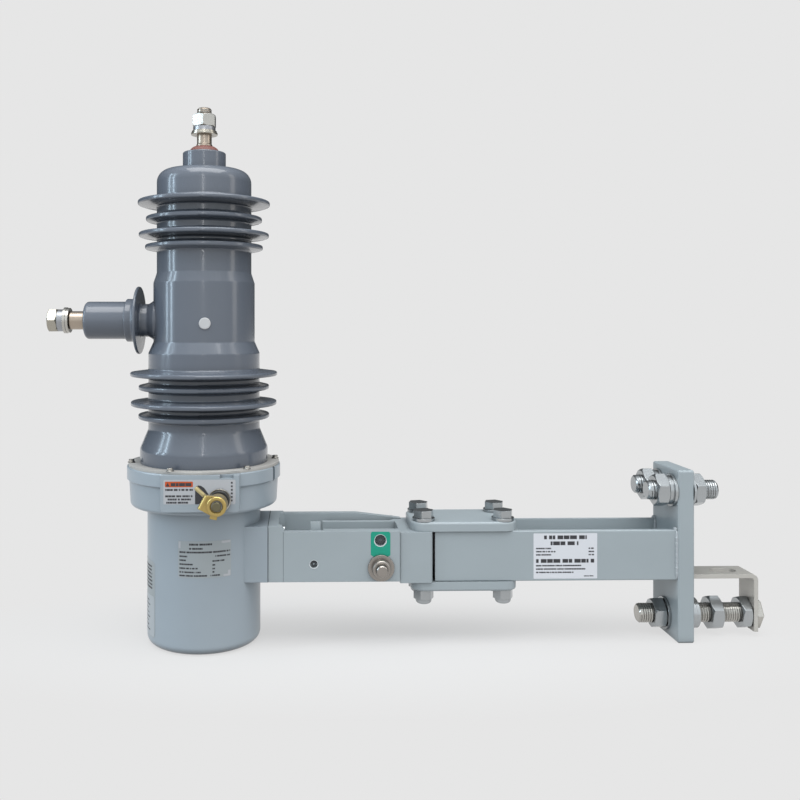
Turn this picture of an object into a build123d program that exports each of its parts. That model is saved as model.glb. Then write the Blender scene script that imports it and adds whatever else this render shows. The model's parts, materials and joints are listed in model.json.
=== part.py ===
"""Single-phase outdoor capacitor switch on a bolted pole arm.

Frame: origin at the centre of the tank's underside, +Z up the tank axis,
+X along the arm, -Y towards the operating lever. All sizes in millimetres.
"""
import os
from math import cos, radians, sin

from build123d import *

os.makedirs("parts", exist_ok=True)

# ---- driving dimensions, all measured from the photograph unless said ----

# tank: cast canister with a flange on top
TANK_R = 61.3
TANK_WALL = 4.0
TANK_FLOOR = 5.0
FLANGE_R = 83.0
FLANGE_LOW_R = FLANGE_R - 2.4
FLANGE_BOTTOM_Z = 148.5
FLANGE_STEP_Z = 175.0
FLANGE_TOP_Z = 190.5
SEAT_R = FLANGE_R - 9.2
SEAT_Z = 184.0
PAD_FACE_Y = FLANGE_R + 1.3
FLANGE_BOLT_R = FLANGE_R - 4.8
FLANGE_BOLT_TURNS = (-50.0, 10.0, 70.0, 130.0, 190.0, 250.0)
PAD_X0 = -35.0
PAD_X1 = 44.0
PAD_Z0 = 153.5
BORE_R = TANK_R - TANK_WALL
LEDGE_R = BORE_R - 6.2
LEDGE_Z = 124.0

# insulator: cast epoxy body with sheds
NECK_R = 23.4
NECK_TOP_Z = 530.0
DOME_Z = 510.3
UPPER_CORE_R = 51.4
LOWER_CORE_R = 60.4
WAIST_R = 55.0
BELL_TOP_Z = 229.0
BELL_Z = 208.0
BELL_R = 69.3
FOOT_R = 73.5
CAVITY_R = 28.0
POCKET_R = 34.0
UPPER_SHEDS = ((474.0, 71.7), (456.5, 63.0), (439.3, 70.6), (426.0, 63.9))
LOWER_SHEDS = ((288.3, 79.7), (273.8, 70.8), (256.7, 79.1), (242.7, 71.1))
SHED_ROOT_HALF = 4.6
SHED_RIM_HALF = 2.2
SIDE_Z = 346.5
SIDE_SLEEVE_R = 20.5
SIDE_STUD_R = 10.0
SIDE_STUD_END_X = -146.1
TOP_NUT_Z = 558.0
TOP_NUT_LONG = 13.7
TOP_TIP_Z = 578.8
TOP_TIP_R = 7.8

# vacuum bottle, unseen: sized to fit the cast body
BOTTLE_Z0 = 388.0
BOTTLE_Z1 = 492.0
CAP_T = 4.0
SHELL_WALL = 5.0
CONTACT_Z = 446.0
CONTACT_R = 18.0
STEM_R = 7.5
STROKE = 10.0

# running fits, radial
RUN_FIT = 0.05
FREE_GAP = 0.5

# lever shaft and crank
SHAFT_X = 24.3
SHAFT_Z = 165.8
SHAFT_R = 5.5
BUSH_R = 8.0
BUSH_LONG = 30.0
CRANK_R = 11.8
CRANK_HALF_ANGLE = 25.0
CRANK_PIN_R = 3.0

# magnetic actuator
ACT_Z0 = 44.0
ACT_Z1 = 124.0
ACT_R = 40.0
ACT_BORE_R = 34.0
PLUNGER_R = 20.0
PLATE_R = BORE_R - 0.3
LEDGE_SCREW_R = (LEDGE_R + PLATE_R) / 2
PLATE_T = 6.0

# fork arm, tongue and clamp
ARM_Z0 = 70.2
ARM_Z1 = 123.2
BOSS_TOP_Z = 129.0
SEAM_X = 71.0
BLOCK_END_X = 87.2
CHANNEL_X = 82.0
FORK_END_X = 210.6
FORK_Y = 40.0
FORK_WALL = 8.0
REAR_END_X = FORK_END_X + 8.4
KNUCKLE_X = FORK_END_X + 0.6
TONGUE_Y = 23.5
TONGUE_WALL = 6.0
KNUCKLE_END_X = 246.0
KNUCKLE_Y = 37.0
CLAMP_Z0 = 67.5
CLAMP_Z1 = 121.2
CLAMP_T = 10.0
CLAMP_X0 = 224.0
CLAMP_X1 = 338.0
CLAMP_Y = 34.5
CLAMP_BOLT_XS = (238.0, 323.8)
CLAMP_BOLT_Y = 22.0
PIN_X = 190.5
PIN_Z = 84.9

# support arm and mounting plate
ARM_START_X = 249.0
SUPPORT_Y = 32.0
SUPPORT_WALL = 6.0
MOUNT_X0 = 510.0
MOUNT_T = 17.5
MOUNT_Y = 34.5
MOUNT_TOP_Z = 185.5
STUD_R = 10.0
STUD_Z = 162.0
STUD_Y = 18.0
LONG_Z = 22.4
NUT20_AF = 30.0
STRAP_T = 4.5
STRAP_Y = 16.75
STRAP_TOP_Z = 69.0
STRAP_BOTTOM_Z = 6.0
STRAP_REACH = 73.8
PLATE_RIGHT_X = MOUNT_X0 + MOUNT_T
STRAP_LEG_X = PLATE_RIGHT_X + STRAP_REACH
SLOT_X = PLATE_RIGHT_X + STRAP_REACH * 0.6355


def shed_points(z, rim, core):
    """Four profile points of one shed, from its upper root to its lower."""
    return [
        (core, z + SHED_ROOT_HALF),
        (rim, z + SHED_RIM_HALF),
        (rim, z - SHED_RIM_HALF),
        (core, z - SHED_ROOT_HALF),
    ]


SHED_RADII = [1.8, 1.7, 1.7, 1.8]

# ---- insulator with its side bushing ----
outline = [(13.0, NECK_TOP_Z), (NECK_R, NECK_TOP_Z), (NECK_R, DOME_Z)]
outline += [(UPPER_CORE_R, DOME_Z)]
corner = [0, 1.5, 3.0, 13.8]
for shed_z, shed_r in UPPER_SHEDS:
    outline += shed_points(shed_z, shed_r, UPPER_CORE_R)
    corner += SHED_RADII
outline += [(51.4, 416.0), (51.4, 398.0), (WAIST_R, 387.0), (WAIST_R, 323.0)]
corner += [0, 3.0, 2.2, 2.2]
outline += [(LOWER_CORE_R, 311.0)]
corner += [3.0]
for shed_z, shed_r in LOWER_SHEDS:
    outline += shed_points(shed_z, shed_r, LOWER_CORE_R)
    corner += SHED_RADII
outline += [(60.5, BELL_TOP_Z), (BELL_R, BELL_Z), (BELL_R, FLANGE_TOP_Z)]
corner += [5.0, 9.0, 0]
outline += [(FOOT_R, FLANGE_TOP_Z), (FOOT_R, SEAT_Z), (46.0, SEAT_Z)]
corner += [0.8, 0.8, 0]
outline += [(46.0, 212.0), (CAVITY_R, 238.0), (CAVITY_R, BOTTLE_Z0)]
corner += [4.0, 4.0, 0]
outline += [(POCKET_R, BOTTLE_Z0), (POCKET_R, BOTTLE_Z1), (13.0, BOTTLE_Z1)]
corner += [0, 0, 0]
side_axis = Axis((0, 0, SIDE_Z), (1, 0, 0))
side_outline = [
    (-40.0, 0.0),
    (-40.0, 23.0),
    (-53.0, 23.0),
    (-60.0, 18.0),
    (-69.0, 18.0),
    (-69.6, 37.0),
    (-72.4, 37.0),
    (-76.0, 23.5),
    (-84.2, 23.5),
    (-84.2, SIDE_SLEEVE_R),
    (-129.0, SIDE_SLEEVE_R),
    (-129.0, 0.0),
]
side_corner = [0, 0, 4.0, 4.0, 2.0, 1.2, 1.2, 2.5, 1.2, 0.8, 4.0, 0]
with BuildPart() as insulator:
    with BuildSketch(Plane.XZ):
        with BuildLine():
            FilletPolyline(*outline, radius=corner, close=True)
        make_face()
    revolve(axis=Axis.Z)
    with BuildSketch(Plane.XZ.offset(0)):
        with BuildLine():
            FilletPolyline(
                *[(x, SIDE_Z + r) for x, r in side_outline],
                radius=side_corner,
                close=True,
            )
        make_face()
    revolve(axis=side_axis)
    with BuildSketch(Plane.YZ.offset(-140.0)):
        with Locations((0, SIDE_Z)):
            Circle(SIDE_STUD_R)
    extrude(amount=125.0, mode=Mode.SUBTRACT)
    with Locations((0, 0, 340.0)):
        Cylinder(CAVITY_R, 60.0, mode=Mode.SUBTRACT)
insulator.part.label = "insulator"
export_step(insulator.part, "parts/insulator.step")

# white mould plug let into the body's face, a little right of the front
PLUG_TURN = 6.5
plug_plane = Plane(
    origin=(53.5 * sin(radians(PLUG_TURN)), -53.5 * cos(radians(PLUG_TURN)), 343.0),
    x_dir=(cos(radians(PLUG_TURN)), sin(radians(PLUG_TURN)), 0),
    z_dir=(sin(radians(PLUG_TURN)), -cos(radians(PLUG_TURN)), 0),
)
with BuildPart() as mould_plug:
    with BuildSketch(plug_plane):
        Circle(6.1)
    extrude(amount=3.0)
    fillet(mould_plug.faces().sort_by(Axis.Y)[0].edges(), radius=0.8)
    with Locations((0, 0, 343.0)):
        Cylinder(WAIST_R, 40.0, mode=Mode.SUBTRACT)
mould_plug.part.label = "mould_plug"
export_step(mould_plug.part, "parts/mould_plug.step")

# ---- top terminal ----
with BuildPart() as top_stud:
    with BuildSketch(Plane.XZ):
        with BuildLine():
            Polyline(
                (0, BOTTLE_Z1),
                (13.0, BOTTLE_Z1),
                (13.0, NECK_TOP_Z),
                (8.8, NECK_TOP_Z),
                (8.8, NECK_TOP_Z + 8.5),
                (8.0, NECK_TOP_Z + 9.5),
                (8.0, TOP_NUT_Z + TOP_NUT_LONG),
                (7.2, TOP_NUT_Z + TOP_NUT_LONG),
                (7.2, TOP_TIP_Z - 5.6),
                (TOP_TIP_R, TOP_TIP_Z - 5.6),
                (TOP_TIP_R, TOP_TIP_Z - 1.4),
                (6.4, TOP_TIP_Z),
                (0, TOP_TIP_Z),
                close=True,
            )
        make_face()
    revolve(axis=Axis.Z)
top_stud.part.label = "top_stud"
export_step(top_stud.part, "parts/top_stud.step")

with BuildPart() as top_seal:
    with BuildSketch(Plane.XZ):
        with BuildLine():
            Polyline(
                (8.8, NECK_TOP_Z + 7.0), (8.8, NECK_TOP_Z), (16.4, NECK_TOP_Z),
                (16.0, NECK_TOP_Z + 1.6),
            )
            TangentArc(
                (16.0, NECK_TOP_Z + 1.6), (8.8, NECK_TOP_Z + 7.0), tangent=(-0.4, 1.0)
            )
        make_face()
    revolve(axis=Axis.Z)
top_seal.part.label = "top_seal"
export_step(top_seal.part, "parts/top_seal.step")

with BuildPart() as top_washers:
    for below, washer_r in ((8.4, 14.4), (6.4, 13.6)):
        with BuildSketch(Plane.XY.offset(TOP_NUT_Z - below)):
            Circle(washer_r)
            Circle(8.3, mode=Mode.SUBTRACT)
        extrude(amount=2.0)
top_washers.part.label = "top_washers"
export_step(top_washers.part, "parts/top_washers.step")

with BuildPart() as top_spring_washer:
    with BuildSketch(Plane.XY.offset(TOP_NUT_Z - 4.4)):
        Circle(12.2)
        Circle(8.3, mode=Mode.SUBTRACT)
    extrude(amount=4.4)
    with Locations((10.0, 0, TOP_NUT_Z - 2.2)):
        Box(9.0, 1.2, 6.0, rotation=(18, 0, 0), mode=Mode.SUBTRACT)
top_spring_washer.part.label = "top_spring_washer"
export_step(top_spring_washer.part, "parts/top_spring_washer.step")

top_nut_top = TOP_NUT_Z + TOP_NUT_LONG
with BuildPart() as top_nut:
    with BuildSketch(Plane.XY.offset(TOP_NUT_Z)):
        RegularPolygon(12.0, 6, major_radius=False, rotation=30)
        Circle(8.0, mode=Mode.SUBTRACT)
    extrude(amount=TOP_NUT_LONG)
    # corners turned down at both ends
    with BuildSketch(Plane.XZ):
        with BuildLine():
            Polyline(
                (11.4, TOP_NUT_Z - 1.0), (15.0, TOP_NUT_Z - 1.0),
                (15.0, top_nut_top + 1.0), (11.4, top_nut_top + 1.0),
                (11.4, top_nut_top), (13.9, top_nut_top - 1.7),
                (13.9, TOP_NUT_Z + 1.7), (11.4, TOP_NUT_Z), close=True,
            )
        make_face()
    revolve(axis=Axis.Z, mode=Mode.SUBTRACT)
top_nut.part.label = "top_nut"
export_step(top_nut.part, "parts/top_nut.step")

# ---- side terminal ----
with BuildPart() as side_stud:
    with BuildSketch(Plane.YZ.offset(SIDE_STUD_END_X)):
        with Locations((0, SIDE_Z)):
            Circle(SIDE_STUD_R)
    extrude(amount=-SIDE_STUD_END_X - 15.0)
    chamfer(side_stud.faces().sort_by(Axis.X)[0].edges(), 1.0)
    with BuildSketch(Plane.YZ.offset(SIDE_STUD_END_X)):
        with Locations((0, SIDE_Z)):
            Circle(6.8)
    extrude(amount=32.0, mode=Mode.SUBTRACT)
side_stud.part.label = "side_stud"
export_step(side_stud.part, "parts/side_stud.step")

with BuildPart() as side_washers:
    for beyond, washer_r in ((3.0, 13.6), (5.9, 14.2)):
        with BuildSketch(Plane.YZ.offset(SIDE_STUD_END_X - beyond)):
            with Locations((0, SIDE_Z)):
                Circle(washer_r)
                Circle(8.3, mode=Mode.SUBTRACT)
        extrude(amount=3.0 if beyond < 4.0 else 2.9)
side_washers.part.label = "side_washers"
export_step(side_washers.part, "parts/side_washers.step")

SIDE_HEAD_X = SIDE_STUD_END_X - 12.5
with BuildPart() as side_spring_washer:
    with BuildSketch(Plane.YZ.offset(SIDE_HEAD_X)):
        with Locations((0, SIDE_Z)):
            Circle(12.0)
            Circle(8.3, mode=Mode.SUBTRACT)
    extrude(amount=6.6)
    with Locations((SIDE_HEAD_X + 3.3, 0, SIDE_Z + 10.0)):
        Box(8.0, 1.2, 9.0, rotation=(0, 0, 20), mode=Mode.SUBTRACT)
side_spring_washer.part.label = "side_spring_washer"
export_step(side_spring_washer.part, "parts/side_spring_washer.step")

SIDE_HEAD_LONG = 10.4
side_head_end = SIDE_HEAD_X - SIDE_HEAD_LONG
with BuildPart() as side_bolt:
    with BuildSketch(Plane.YZ.offset(side_head_end)):
        with Locations((0, SIDE_Z)):
            RegularPolygon(12.0, 6, major_radius=False)
    extrude(amount=SIDE_HEAD_LONG)
    # corners turned down at both ends of the head
    with BuildSketch(Plane.XZ):
        with BuildLine():
            Polyline(
                (side_head_end - 1.0, SIDE_Z + 11.4), (side_head_end, SIDE_Z + 11.4),
                (side_head_end + 1.7, SIDE_Z + 13.9), (SIDE_HEAD_X - 1.7, SIDE_Z + 13.9),
                (SIDE_HEAD_X, SIDE_Z + 11.4), (SIDE_HEAD_X + 1.0, SIDE_Z + 11.4),
                (SIDE_HEAD_X + 1.0, SIDE_Z + 15.0), (side_head_end - 1.0, SIDE_Z + 15.0),
                close=True,
            )
        make_face()
    revolve(axis=side_axis, mode=Mode.SUBTRACT)
    with BuildSketch(Plane.YZ.offset(SIDE_HEAD_X)):
        with Locations((0, SIDE_Z)):
            Circle(8.0)
    extrude(amount=SIDE_STUD_END_X - SIDE_HEAD_X)
    with BuildSketch(Plane.YZ.offset(SIDE_STUD_END_X)):
        with Locations((0, SIDE_Z)):
            Circle(6.8)
    extrude(amount=30.0)
side_bolt.part.label = "side_bolt"
export_step(side_bolt.part, "parts/side_bolt.step")

# ---- vacuum bottle ----
with BuildPart() as bottle_shell:
    with BuildSketch(Plane.XY.offset(BOTTLE_Z0 + CAP_T)):
        Circle(POCKET_R)
        Circle(POCKET_R - SHELL_WALL, mode=Mode.SUBTRACT)
    extrude(amount=BOTTLE_Z1 - BOTTLE_Z0 - 2 * CAP_T)
bottle_shell.part.label = "bottle_shell"
export_step(bottle_shell.part, "parts/bottle_shell.step")

with BuildPart() as bottle_caps:
    with BuildSketch(Plane.XY.offset(BOTTLE_Z0)):
        Circle(POCKET_R)
        Circle(STEM_R + RUN_FIT, mode=Mode.SUBTRACT)
    extrude(amount=CAP_T)
    with BuildSketch(Plane.XY.offset(BOTTLE_Z1 - CAP_T)):
        Circle(POCKET_R)
        Circle(9.0, mode=Mode.SUBTRACT)
    extrude(amount=CAP_T)
bottle_caps.part.label = "bottle_caps"
export_step(bottle_caps.part, "parts/bottle_caps.step")

with BuildPart() as fixed_contact:
    with BuildSketch(Plane.XY.offset(CONTACT_Z)):
        Circle(CONTACT_R)
    extrude(amount=6.0)
    with BuildSketch(Plane.XY.offset(CONTACT_Z + 6.0)):
        Circle(9.0)
    extrude(amount=BOTTLE_Z1 - CONTACT_Z - 6.0)
fixed_contact.part.label = "fixed_contact"
export_step(fixed_contact.part, "parts/fixed_contact.step")

with BuildPart() as arc_shield:
    with BuildSketch(Plane.XY.offset(430.0)):
        Circle(23.5)
        Circle(22.3, mode=Mode.SUBTRACT)
    extrude(amount=34.0)
    with BuildSketch(Plane.XY.offset(446.0)):
        Circle(POCKET_R - SHELL_WALL)
        Circle(23.0, mode=Mode.SUBTRACT)
    extrude(amount=2.0)
arc_shield.part.label = "arc_shield"
export_step(arc_shield.part, "parts/arc_shield.step")

ROD_TOP_Z = 330.0
with BuildPart() as moving_contact:
    with BuildSketch(Plane.XY.offset(CONTACT_Z - 6.0)):
        Circle(CONTACT_R)
    extrude(amount=6.0)
    with BuildSketch(Plane.XY.offset(ROD_TOP_Z - 12.0)):
        Circle(STEM_R)
    extrude(amount=CONTACT_Z - 6.0 - ROD_TOP_Z + 12.0)
moving_contact.part.label = "moving_contact"
export_step(moving_contact.part, "parts/moving_contact.step")

BELLOWS_Z0 = BOTTLE_Z0 + CAP_T
BELLOWS_FOLDS = 5
BELLOWS_PITCH = 5.6
bellows_outer = [(STEM_R + 1.0, BELLOWS_Z0), (STEM_R + 2.6, BELLOWS_Z0)]
bellows_inner = [(STEM_R + 1.0, BELLOWS_Z0)]
for fold in range(BELLOWS_FOLDS):
    base = BELLOWS_Z0 + 1.0 + fold * BELLOWS_PITCH
    bellows_outer += [(STEM_R + 2.6, base), (STEM_R + 6.6, base + BELLOWS_PITCH / 2)]
    bellows_inner += [(STEM_R + 1.6, base), (STEM_R + 5.6, base + BELLOWS_PITCH / 2)]
bellows_top = BELLOWS_Z0 + 1.0 + BELLOWS_FOLDS * BELLOWS_PITCH
bellows_outer += [(STEM_R + 2.6, bellows_top), (STEM_R + 2.6, bellows_top + 2.0)]
bellows_outer += [(STEM_R, bellows_top + 2.0), (STEM_R, bellows_top + 0.8)]
bellows_inner += [(STEM_R + 1.6, bellows_top)]
with BuildPart() as bellows:
    with BuildSketch(Plane.XZ):
        with BuildLine():
            Polyline(*(bellows_outer + bellows_inner[::-1]))
        make_face()
    revolve(axis=Axis.Z)
bellows.part.label = "bellows"
export_step(bellows.part, "parts/bellows.step")

with BuildPart() as current_collar:
    with BuildSketch(Plane.XY.offset(SIDE_Z - 12.0)):
        Circle(CAVITY_R)
        Circle(STEM_R + RUN_FIT, mode=Mode.SUBTRACT)
    extrude(amount=24.0)
    with BuildSketch(Plane.YZ.offset(-40.0)):
        with Locations((0, SIDE_Z)):
            Circle(SIDE_STUD_R)
    extrude(amount=25.0, mode=Mode.SUBTRACT)
current_collar.part.label = "current_collar"
export_step(current_collar.part, "parts/current_collar.step")

# ---- drive line ----
with BuildPart() as pull_rod:
    with BuildSketch(Plane.XZ):
        with BuildLine():
            Polyline(
                (0, 194.0), (14.4, 194.0), (14.4, 198.0), (10.5, 198.0), (10.5, 246.0),
                (18.0, 248.0), (18.0, 250.0), (10.5, 252.0), (10.5, 274.0), (18.0, 276.0),
                (18.0, 278.0), (10.5, 280.0), (10.5, 304.0), (13.0, 308.0),
                (13.0, ROD_TOP_Z - 4.0), (STEM_R, ROD_TOP_Z - 4.0),
                (STEM_R, ROD_TOP_Z - 12.0), (0, ROD_TOP_Z - 12.0), close=True,
            )
        make_face()
    revolve(axis=Axis.Z)
pull_rod.part.label = "pull_rod"
export_step(pull_rod.part, "parts/pull_rod.step")

YOKE_Z0 = 155.0
YOKE_Z1 = 177.0
with BuildPart() as spring_cup:
    with BuildSketch(Plane.XY.offset(YOKE_Z1)):
        Circle(17.0)
    extrude(amount=24.0)
    with BuildSketch(Plane.XY.offset(YOKE_Z1 + 2.0)):
        Circle(14.7)
    extrude(amount=30.0, mode=Mode.SUBTRACT)
spring_cup.part.label = "spring_cup"
export_step(spring_cup.part, "parts/spring_cup.step")

with BuildPart() as spring_retainer:
    with BuildSketch(Plane.XY.offset(198.0)):
        Circle(14.7)
        Circle(10.5, mode=Mode.SUBTRACT)
    extrude(amount=3.0)
spring_retainer.part.label = "spring_retainer"
export_step(spring_retainer.part, "parts/spring_retainer.step")

with BuildPart() as contact_spring:
    with BuildLine(Plane.XY.offset(YOKE_Z1 + 2.0 + 1.5)):
        Helix(pitch=4.0, height=12.0, radius=11.5)
    with BuildSketch(Plane(origin=(11.5, 0, YOKE_Z1 + 3.5), z_dir=(0, 1, 0))):
        Circle(1.5)
    sweep(is_frenet=True)
contact_spring.part.label = "contact_spring"
export_step(contact_spring.part, "parts/contact_spring.step")

PIN_REST_X = SHAFT_X - CRANK_R * cos(radians(CRANK_HALF_ANGLE))
PIN_REST_Z = SHAFT_Z + CRANK_R * sin(radians(CRANK_HALF_ANGLE))
PIN_MID_X = SHAFT_X - CRANK_R
SLOT_CLEAR = 0.15
slot_x0 = PIN_MID_X - CRANK_PIN_R - FREE_GAP
slot_x1 = PIN_REST_X + CRANK_PIN_R + FREE_GAP
with BuildPart() as drive_yoke:
    with Locations((2.0, 0, (YOKE_Z0 + YOKE_Z1) / 2)):
        Box(38.0, 18.0, YOKE_Z1 - YOKE_Z0)
    fillet(drive_yoke.edges().filter_by(Axis.Z), 3.0)
    with Locations(((slot_x0 + slot_x1) / 2, 0, PIN_REST_Z)):
        Box(slot_x1 - slot_x0, 30.0, 2 * (CRANK_PIN_R + SLOT_CLEAR), mode=Mode.SUBTRACT)
drive_yoke.part.label = "drive_yoke"
export_step(drive_yoke.part, "parts/drive_yoke.step")

with BuildPart() as plunger:
    with BuildSketch(Plane.XZ):
        with BuildLine():
            Polyline(
                (0, 19.0), (15.0, 19.0), (15.0, 22.0), (5.0, 22.0), (5.0, 62.0),
                (PLUNGER_R, 62.0), (PLUNGER_R, 113.0), (6.0, 113.0), (6.0, YOKE_Z0),
                (0, YOKE_Z0), close=True,
            )
        make_face()
    revolve(axis=Axis.Z)
plunger.part.label = "plunger"
export_step(plunger.part, "parts/plunger.step")

with BuildPart() as opening_spring:
    with BuildLine(Plane.XY.offset(22.0 + 1.4)):
        Helix(pitch=4.8, height=19.2, radius=11.0)
    with BuildSketch(Plane(origin=(11.0, 0, 23.4), z_dir=(0, 1, 0))):
        Circle(1.4)
    sweep(is_frenet=True)
opening_spring.part.label = "opening_spring"
export_step(opening_spring.part, "parts/opening_spring.step")

# ---- magnetic actuator ----
with BuildPart() as actuator_frame:
    with BuildSketch(Plane.XY.offset(ACT_Z0)):
        Circle(ACT_R)
    extrude(amount=ACT_Z1 - ACT_Z0)
    with BuildSketch(Plane.XY.offset(ACT_Z0 + 6.0)):
        Circle(ACT_BORE_R)
    extrude(amount=ACT_Z1 - ACT_Z0 - 16.0, mode=Mode.SUBTRACT)
    with BuildSketch(Plane.XY.offset(ACT_Z0 - 1.0)):
        Circle(5.0 + RUN_FIT)
    extrude(amount=10.0, mode=Mode.SUBTRACT)
    with BuildSketch(Plane.XY.offset(ACT_Z1 - 12.0)):
        Circle(6.0 + RUN_FIT)
    extrude(amount=14.0, mode=Mode.SUBTRACT)
    with Locations((0, 0, ACT_Z1)):
        with PolarLocations(37.0, 4, start_angle=45):
            Hole(2.5, 12.0)
actuator_frame.part.label = "actuator_frame"
export_step(actuator_frame.part, "parts/actuator_frame.step")

COIL_BORE_R = PLUNGER_R + FREE_GAP
with BuildPart() as coils:
    with BuildSketch(Plane.XY.offset(50.0)):
        Circle(ACT_BORE_R)
        Circle(COIL_BORE_R, mode=Mode.SUBTRACT)
    extrude(amount=26.0)
    with BuildSketch(Plane.XY.offset(86.0)):
        Circle(ACT_BORE_R)
        Circle(COIL_BORE_R, mode=Mode.SUBTRACT)
    extrude(amount=28.0)
coils.part.label = "coils"
export_step(coils.part, "parts/coils.step")

with BuildPart() as magnet_ring:
    with BuildSketch(Plane.XY.offset(76.0)):
        Circle(ACT_BORE_R)
        Circle(COIL_BORE_R, mode=Mode.SUBTRACT)
    extrude(amount=10.0)
magnet_ring.part.label = "magnet_ring"
export_step(magnet_ring.part, "parts/magnet_ring.step")

with BuildPart() as mechanism_plate:
    with BuildSketch(Plane.XY.offset(LEDGE_Z)):
        Circle(PLATE_R)
        Circle(7.0, mode=Mode.SUBTRACT)
        with PolarLocations(37.0, 4, start_angle=45):
            Circle(2.5, mode=Mode.SUBTRACT)
        with PolarLocations(LEDGE_SCREW_R, 4):
            Circle(2.0, mode=Mode.SUBTRACT)
    extrude(amount=PLATE_T)
mechanism_plate.part.label = "mechanism_plate"
export_step(mechanism_plate.part, "parts/mechanism_plate.step")

with BuildPart() as mechanism_screws:
    with Locations((0, 0, LEDGE_Z + PLATE_T)):
        with PolarLocations(37.0, 4, start_angle=45):
            Cylinder(4.2, 4.0, align=(Align.CENTER, Align.CENTER, Align.MIN))
            Cylinder(2.5, PLATE_T + 12.0, align=(Align.CENTER, Align.CENTER, Align.MAX))
        with PolarLocations(LEDGE_SCREW_R, 4):
            Cylinder(2.9, 3.0, align=(Align.CENTER, Align.CENTER, Align.MIN))
            Cylinder(2.0, PLATE_T + 6.0, align=(Align.CENTER, Align.CENTER, Align.MAX))
mechanism_screws.part.label = "mechanism_screws"
export_step(mechanism_screws.part, "parts/mechanism_screws.step")

# ---- tank ----
GROOVE_TURN = 68.5


def flange_spot(turn, z):
    """Place of a flange bolt at a turn in degrees about the tank axis."""
    return (FLANGE_BOLT_R * cos(radians(turn)), FLANGE_BOLT_R * sin(radians(turn)), z)


with BuildPart() as tank:
    with BuildSketch(Plane.XZ):
        with BuildLine():
            FilletPolyline(
                (0, 0), (TANK_R, 0), (TANK_R, FLANGE_BOTTOM_Z - 1.5),
                (FLANGE_LOW_R - 1.5, FLANGE_BOTTOM_Z), (FLANGE_LOW_R, FLANGE_STEP_Z),
                (FLANGE_R, FLANGE_STEP_Z + 2.0), (FLANGE_R, FLANGE_TOP_Z),
                (0, FLANGE_TOP_Z),
                radius=[0, 8.5, 2.5, 4.0, 0, 0, 1.5, 0], close=True,
            )
        make_face()
    revolve(axis=Axis.Z)
    # flat pad for the lever and its label
    with BuildSketch(Plane.XZ.offset(55.0)) as pad_outline:
        with Locations(((PAD_X0 + PAD_X1) / 2, (PAD_Z0 + FLANGE_TOP_Z) / 2)):
            Rectangle(PAD_X1 - PAD_X0, FLANGE_TOP_Z - PAD_Z0)
        fillet(pad_outline.vertices().group_by(Axis.Y)[0], 3.0)
    extrude(amount=PAD_FACE_Y - 55.0)
    # side boss that carries the arm
    with Locations(((SEAM_X + 36.0) / 2, 0, (ARM_Z0 + BOSS_TOP_Z) / 2)):
        Box(SEAM_X - 36.0, 2 * FORK_Y + 1.0, BOSS_TOP_Z - ARM_Z0)
    # vertical groove at the right of the flange, slot in the pad's top edge
    with Locations(Location((0, 0, 176.0), (0, 0, GROOVE_TURN))):
        with Locations((0, -FLANGE_R, 0)):
            Box(5.0, 5.0, 34.0, mode=Mode.SUBTRACT)
    with Locations((31.4, -PAD_FACE_Y + 2.5, FLANGE_TOP_Z - 1.2)):
        Box(13.6, 7.0, 4.0, mode=Mode.SUBTRACT)
    # inside: seat, bore with a ledge, floor
    with BuildSketch(Plane.XZ):
        with BuildLine():
            Polyline(
                (0, 200.0), (SEAT_R, 200.0), (SEAT_R, SEAT_Z),
                (BORE_R, SEAT_Z), (BORE_R, LEDGE_Z),
                (LEDGE_R, LEDGE_Z), (LEDGE_R, LEDGE_Z - 8.0),
                (BORE_R, LEDGE_Z - 14.0), (BORE_R, TANK_FLOOR),
                (0, TANK_FLOOR), close=True,
            )
        make_face()
    revolve(axis=Axis.Z, mode=Mode.SUBTRACT)
    # shaft bore through the pad
    with BuildSketch(Plane.XZ.offset(PAD_FACE_Y + 5.0)):
        with Locations((SHAFT_X, SHAFT_Z)):
            Circle(BUSH_R)
    extrude(amount=-60.0, mode=Mode.SUBTRACT)
    # screw holes: ledge screws and flange screws
    with Locations((0, 0, LEDGE_Z)):
        with PolarLocations(LEDGE_SCREW_R, 4):
            Cylinder(2.0, 12.0, mode=Mode.SUBTRACT)
    for turn in FLANGE_BOLT_TURNS:
        with Locations(flange_spot(turn, FLANGE_TOP_Z)):
            Cylinder(2.5, 28.0, mode=Mode.SUBTRACT)
    # tapped holes for the arm's fixing screws
    with BuildSketch(Plane.YZ.offset(SEAM_X)):
        with Locations((0, 97.0)):
            with GridLocations(44.0, 30.0, 2, 2):
                Circle(3.0)
    extrude(amount=-7.0, mode=Mode.SUBTRACT)
tank.part.label = "tank"
export_step(tank.part, "parts/tank.step")

with BuildPart() as flange_gasket:
    with BuildSketch(Plane.XY.offset(FLANGE_TOP_Z)):
        Circle(FLANGE_R - 1.4)
        Circle(BELL_R, mode=Mode.SUBTRACT)
        with Locations(*[flange_spot(turn, 0)[:2] for turn in FLANGE_BOLT_TURNS]):
            Circle(2.5, mode=Mode.SUBTRACT)
    extrude(amount=2.6)
flange_gasket.part.label = "flange_gasket"
export_step(flange_gasket.part, "parts/flange_gasket.step")

with BuildPart() as flange_bolts:
    for turn in FLANGE_BOLT_TURNS:
        with Locations(flange_spot(turn, FLANGE_TOP_Z + 2.6)):
            Cylinder(4.0, 0.8, align=(Align.CENTER, Align.CENTER, Align.MIN))
            Cylinder(2.5, 16.0, align=(Align.CENTER, Align.CENTER, Align.MAX))
        with Locations(flange_spot(turn, FLANGE_TOP_Z + 3.4)):
            Cylinder(3.0, 2.6, align=(Align.CENTER, Align.CENTER, Align.MIN))
flange_bolts.part.label = "flange_bolts"
export_step(flange_bolts.part, "parts/flange_bolts.step")

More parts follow.
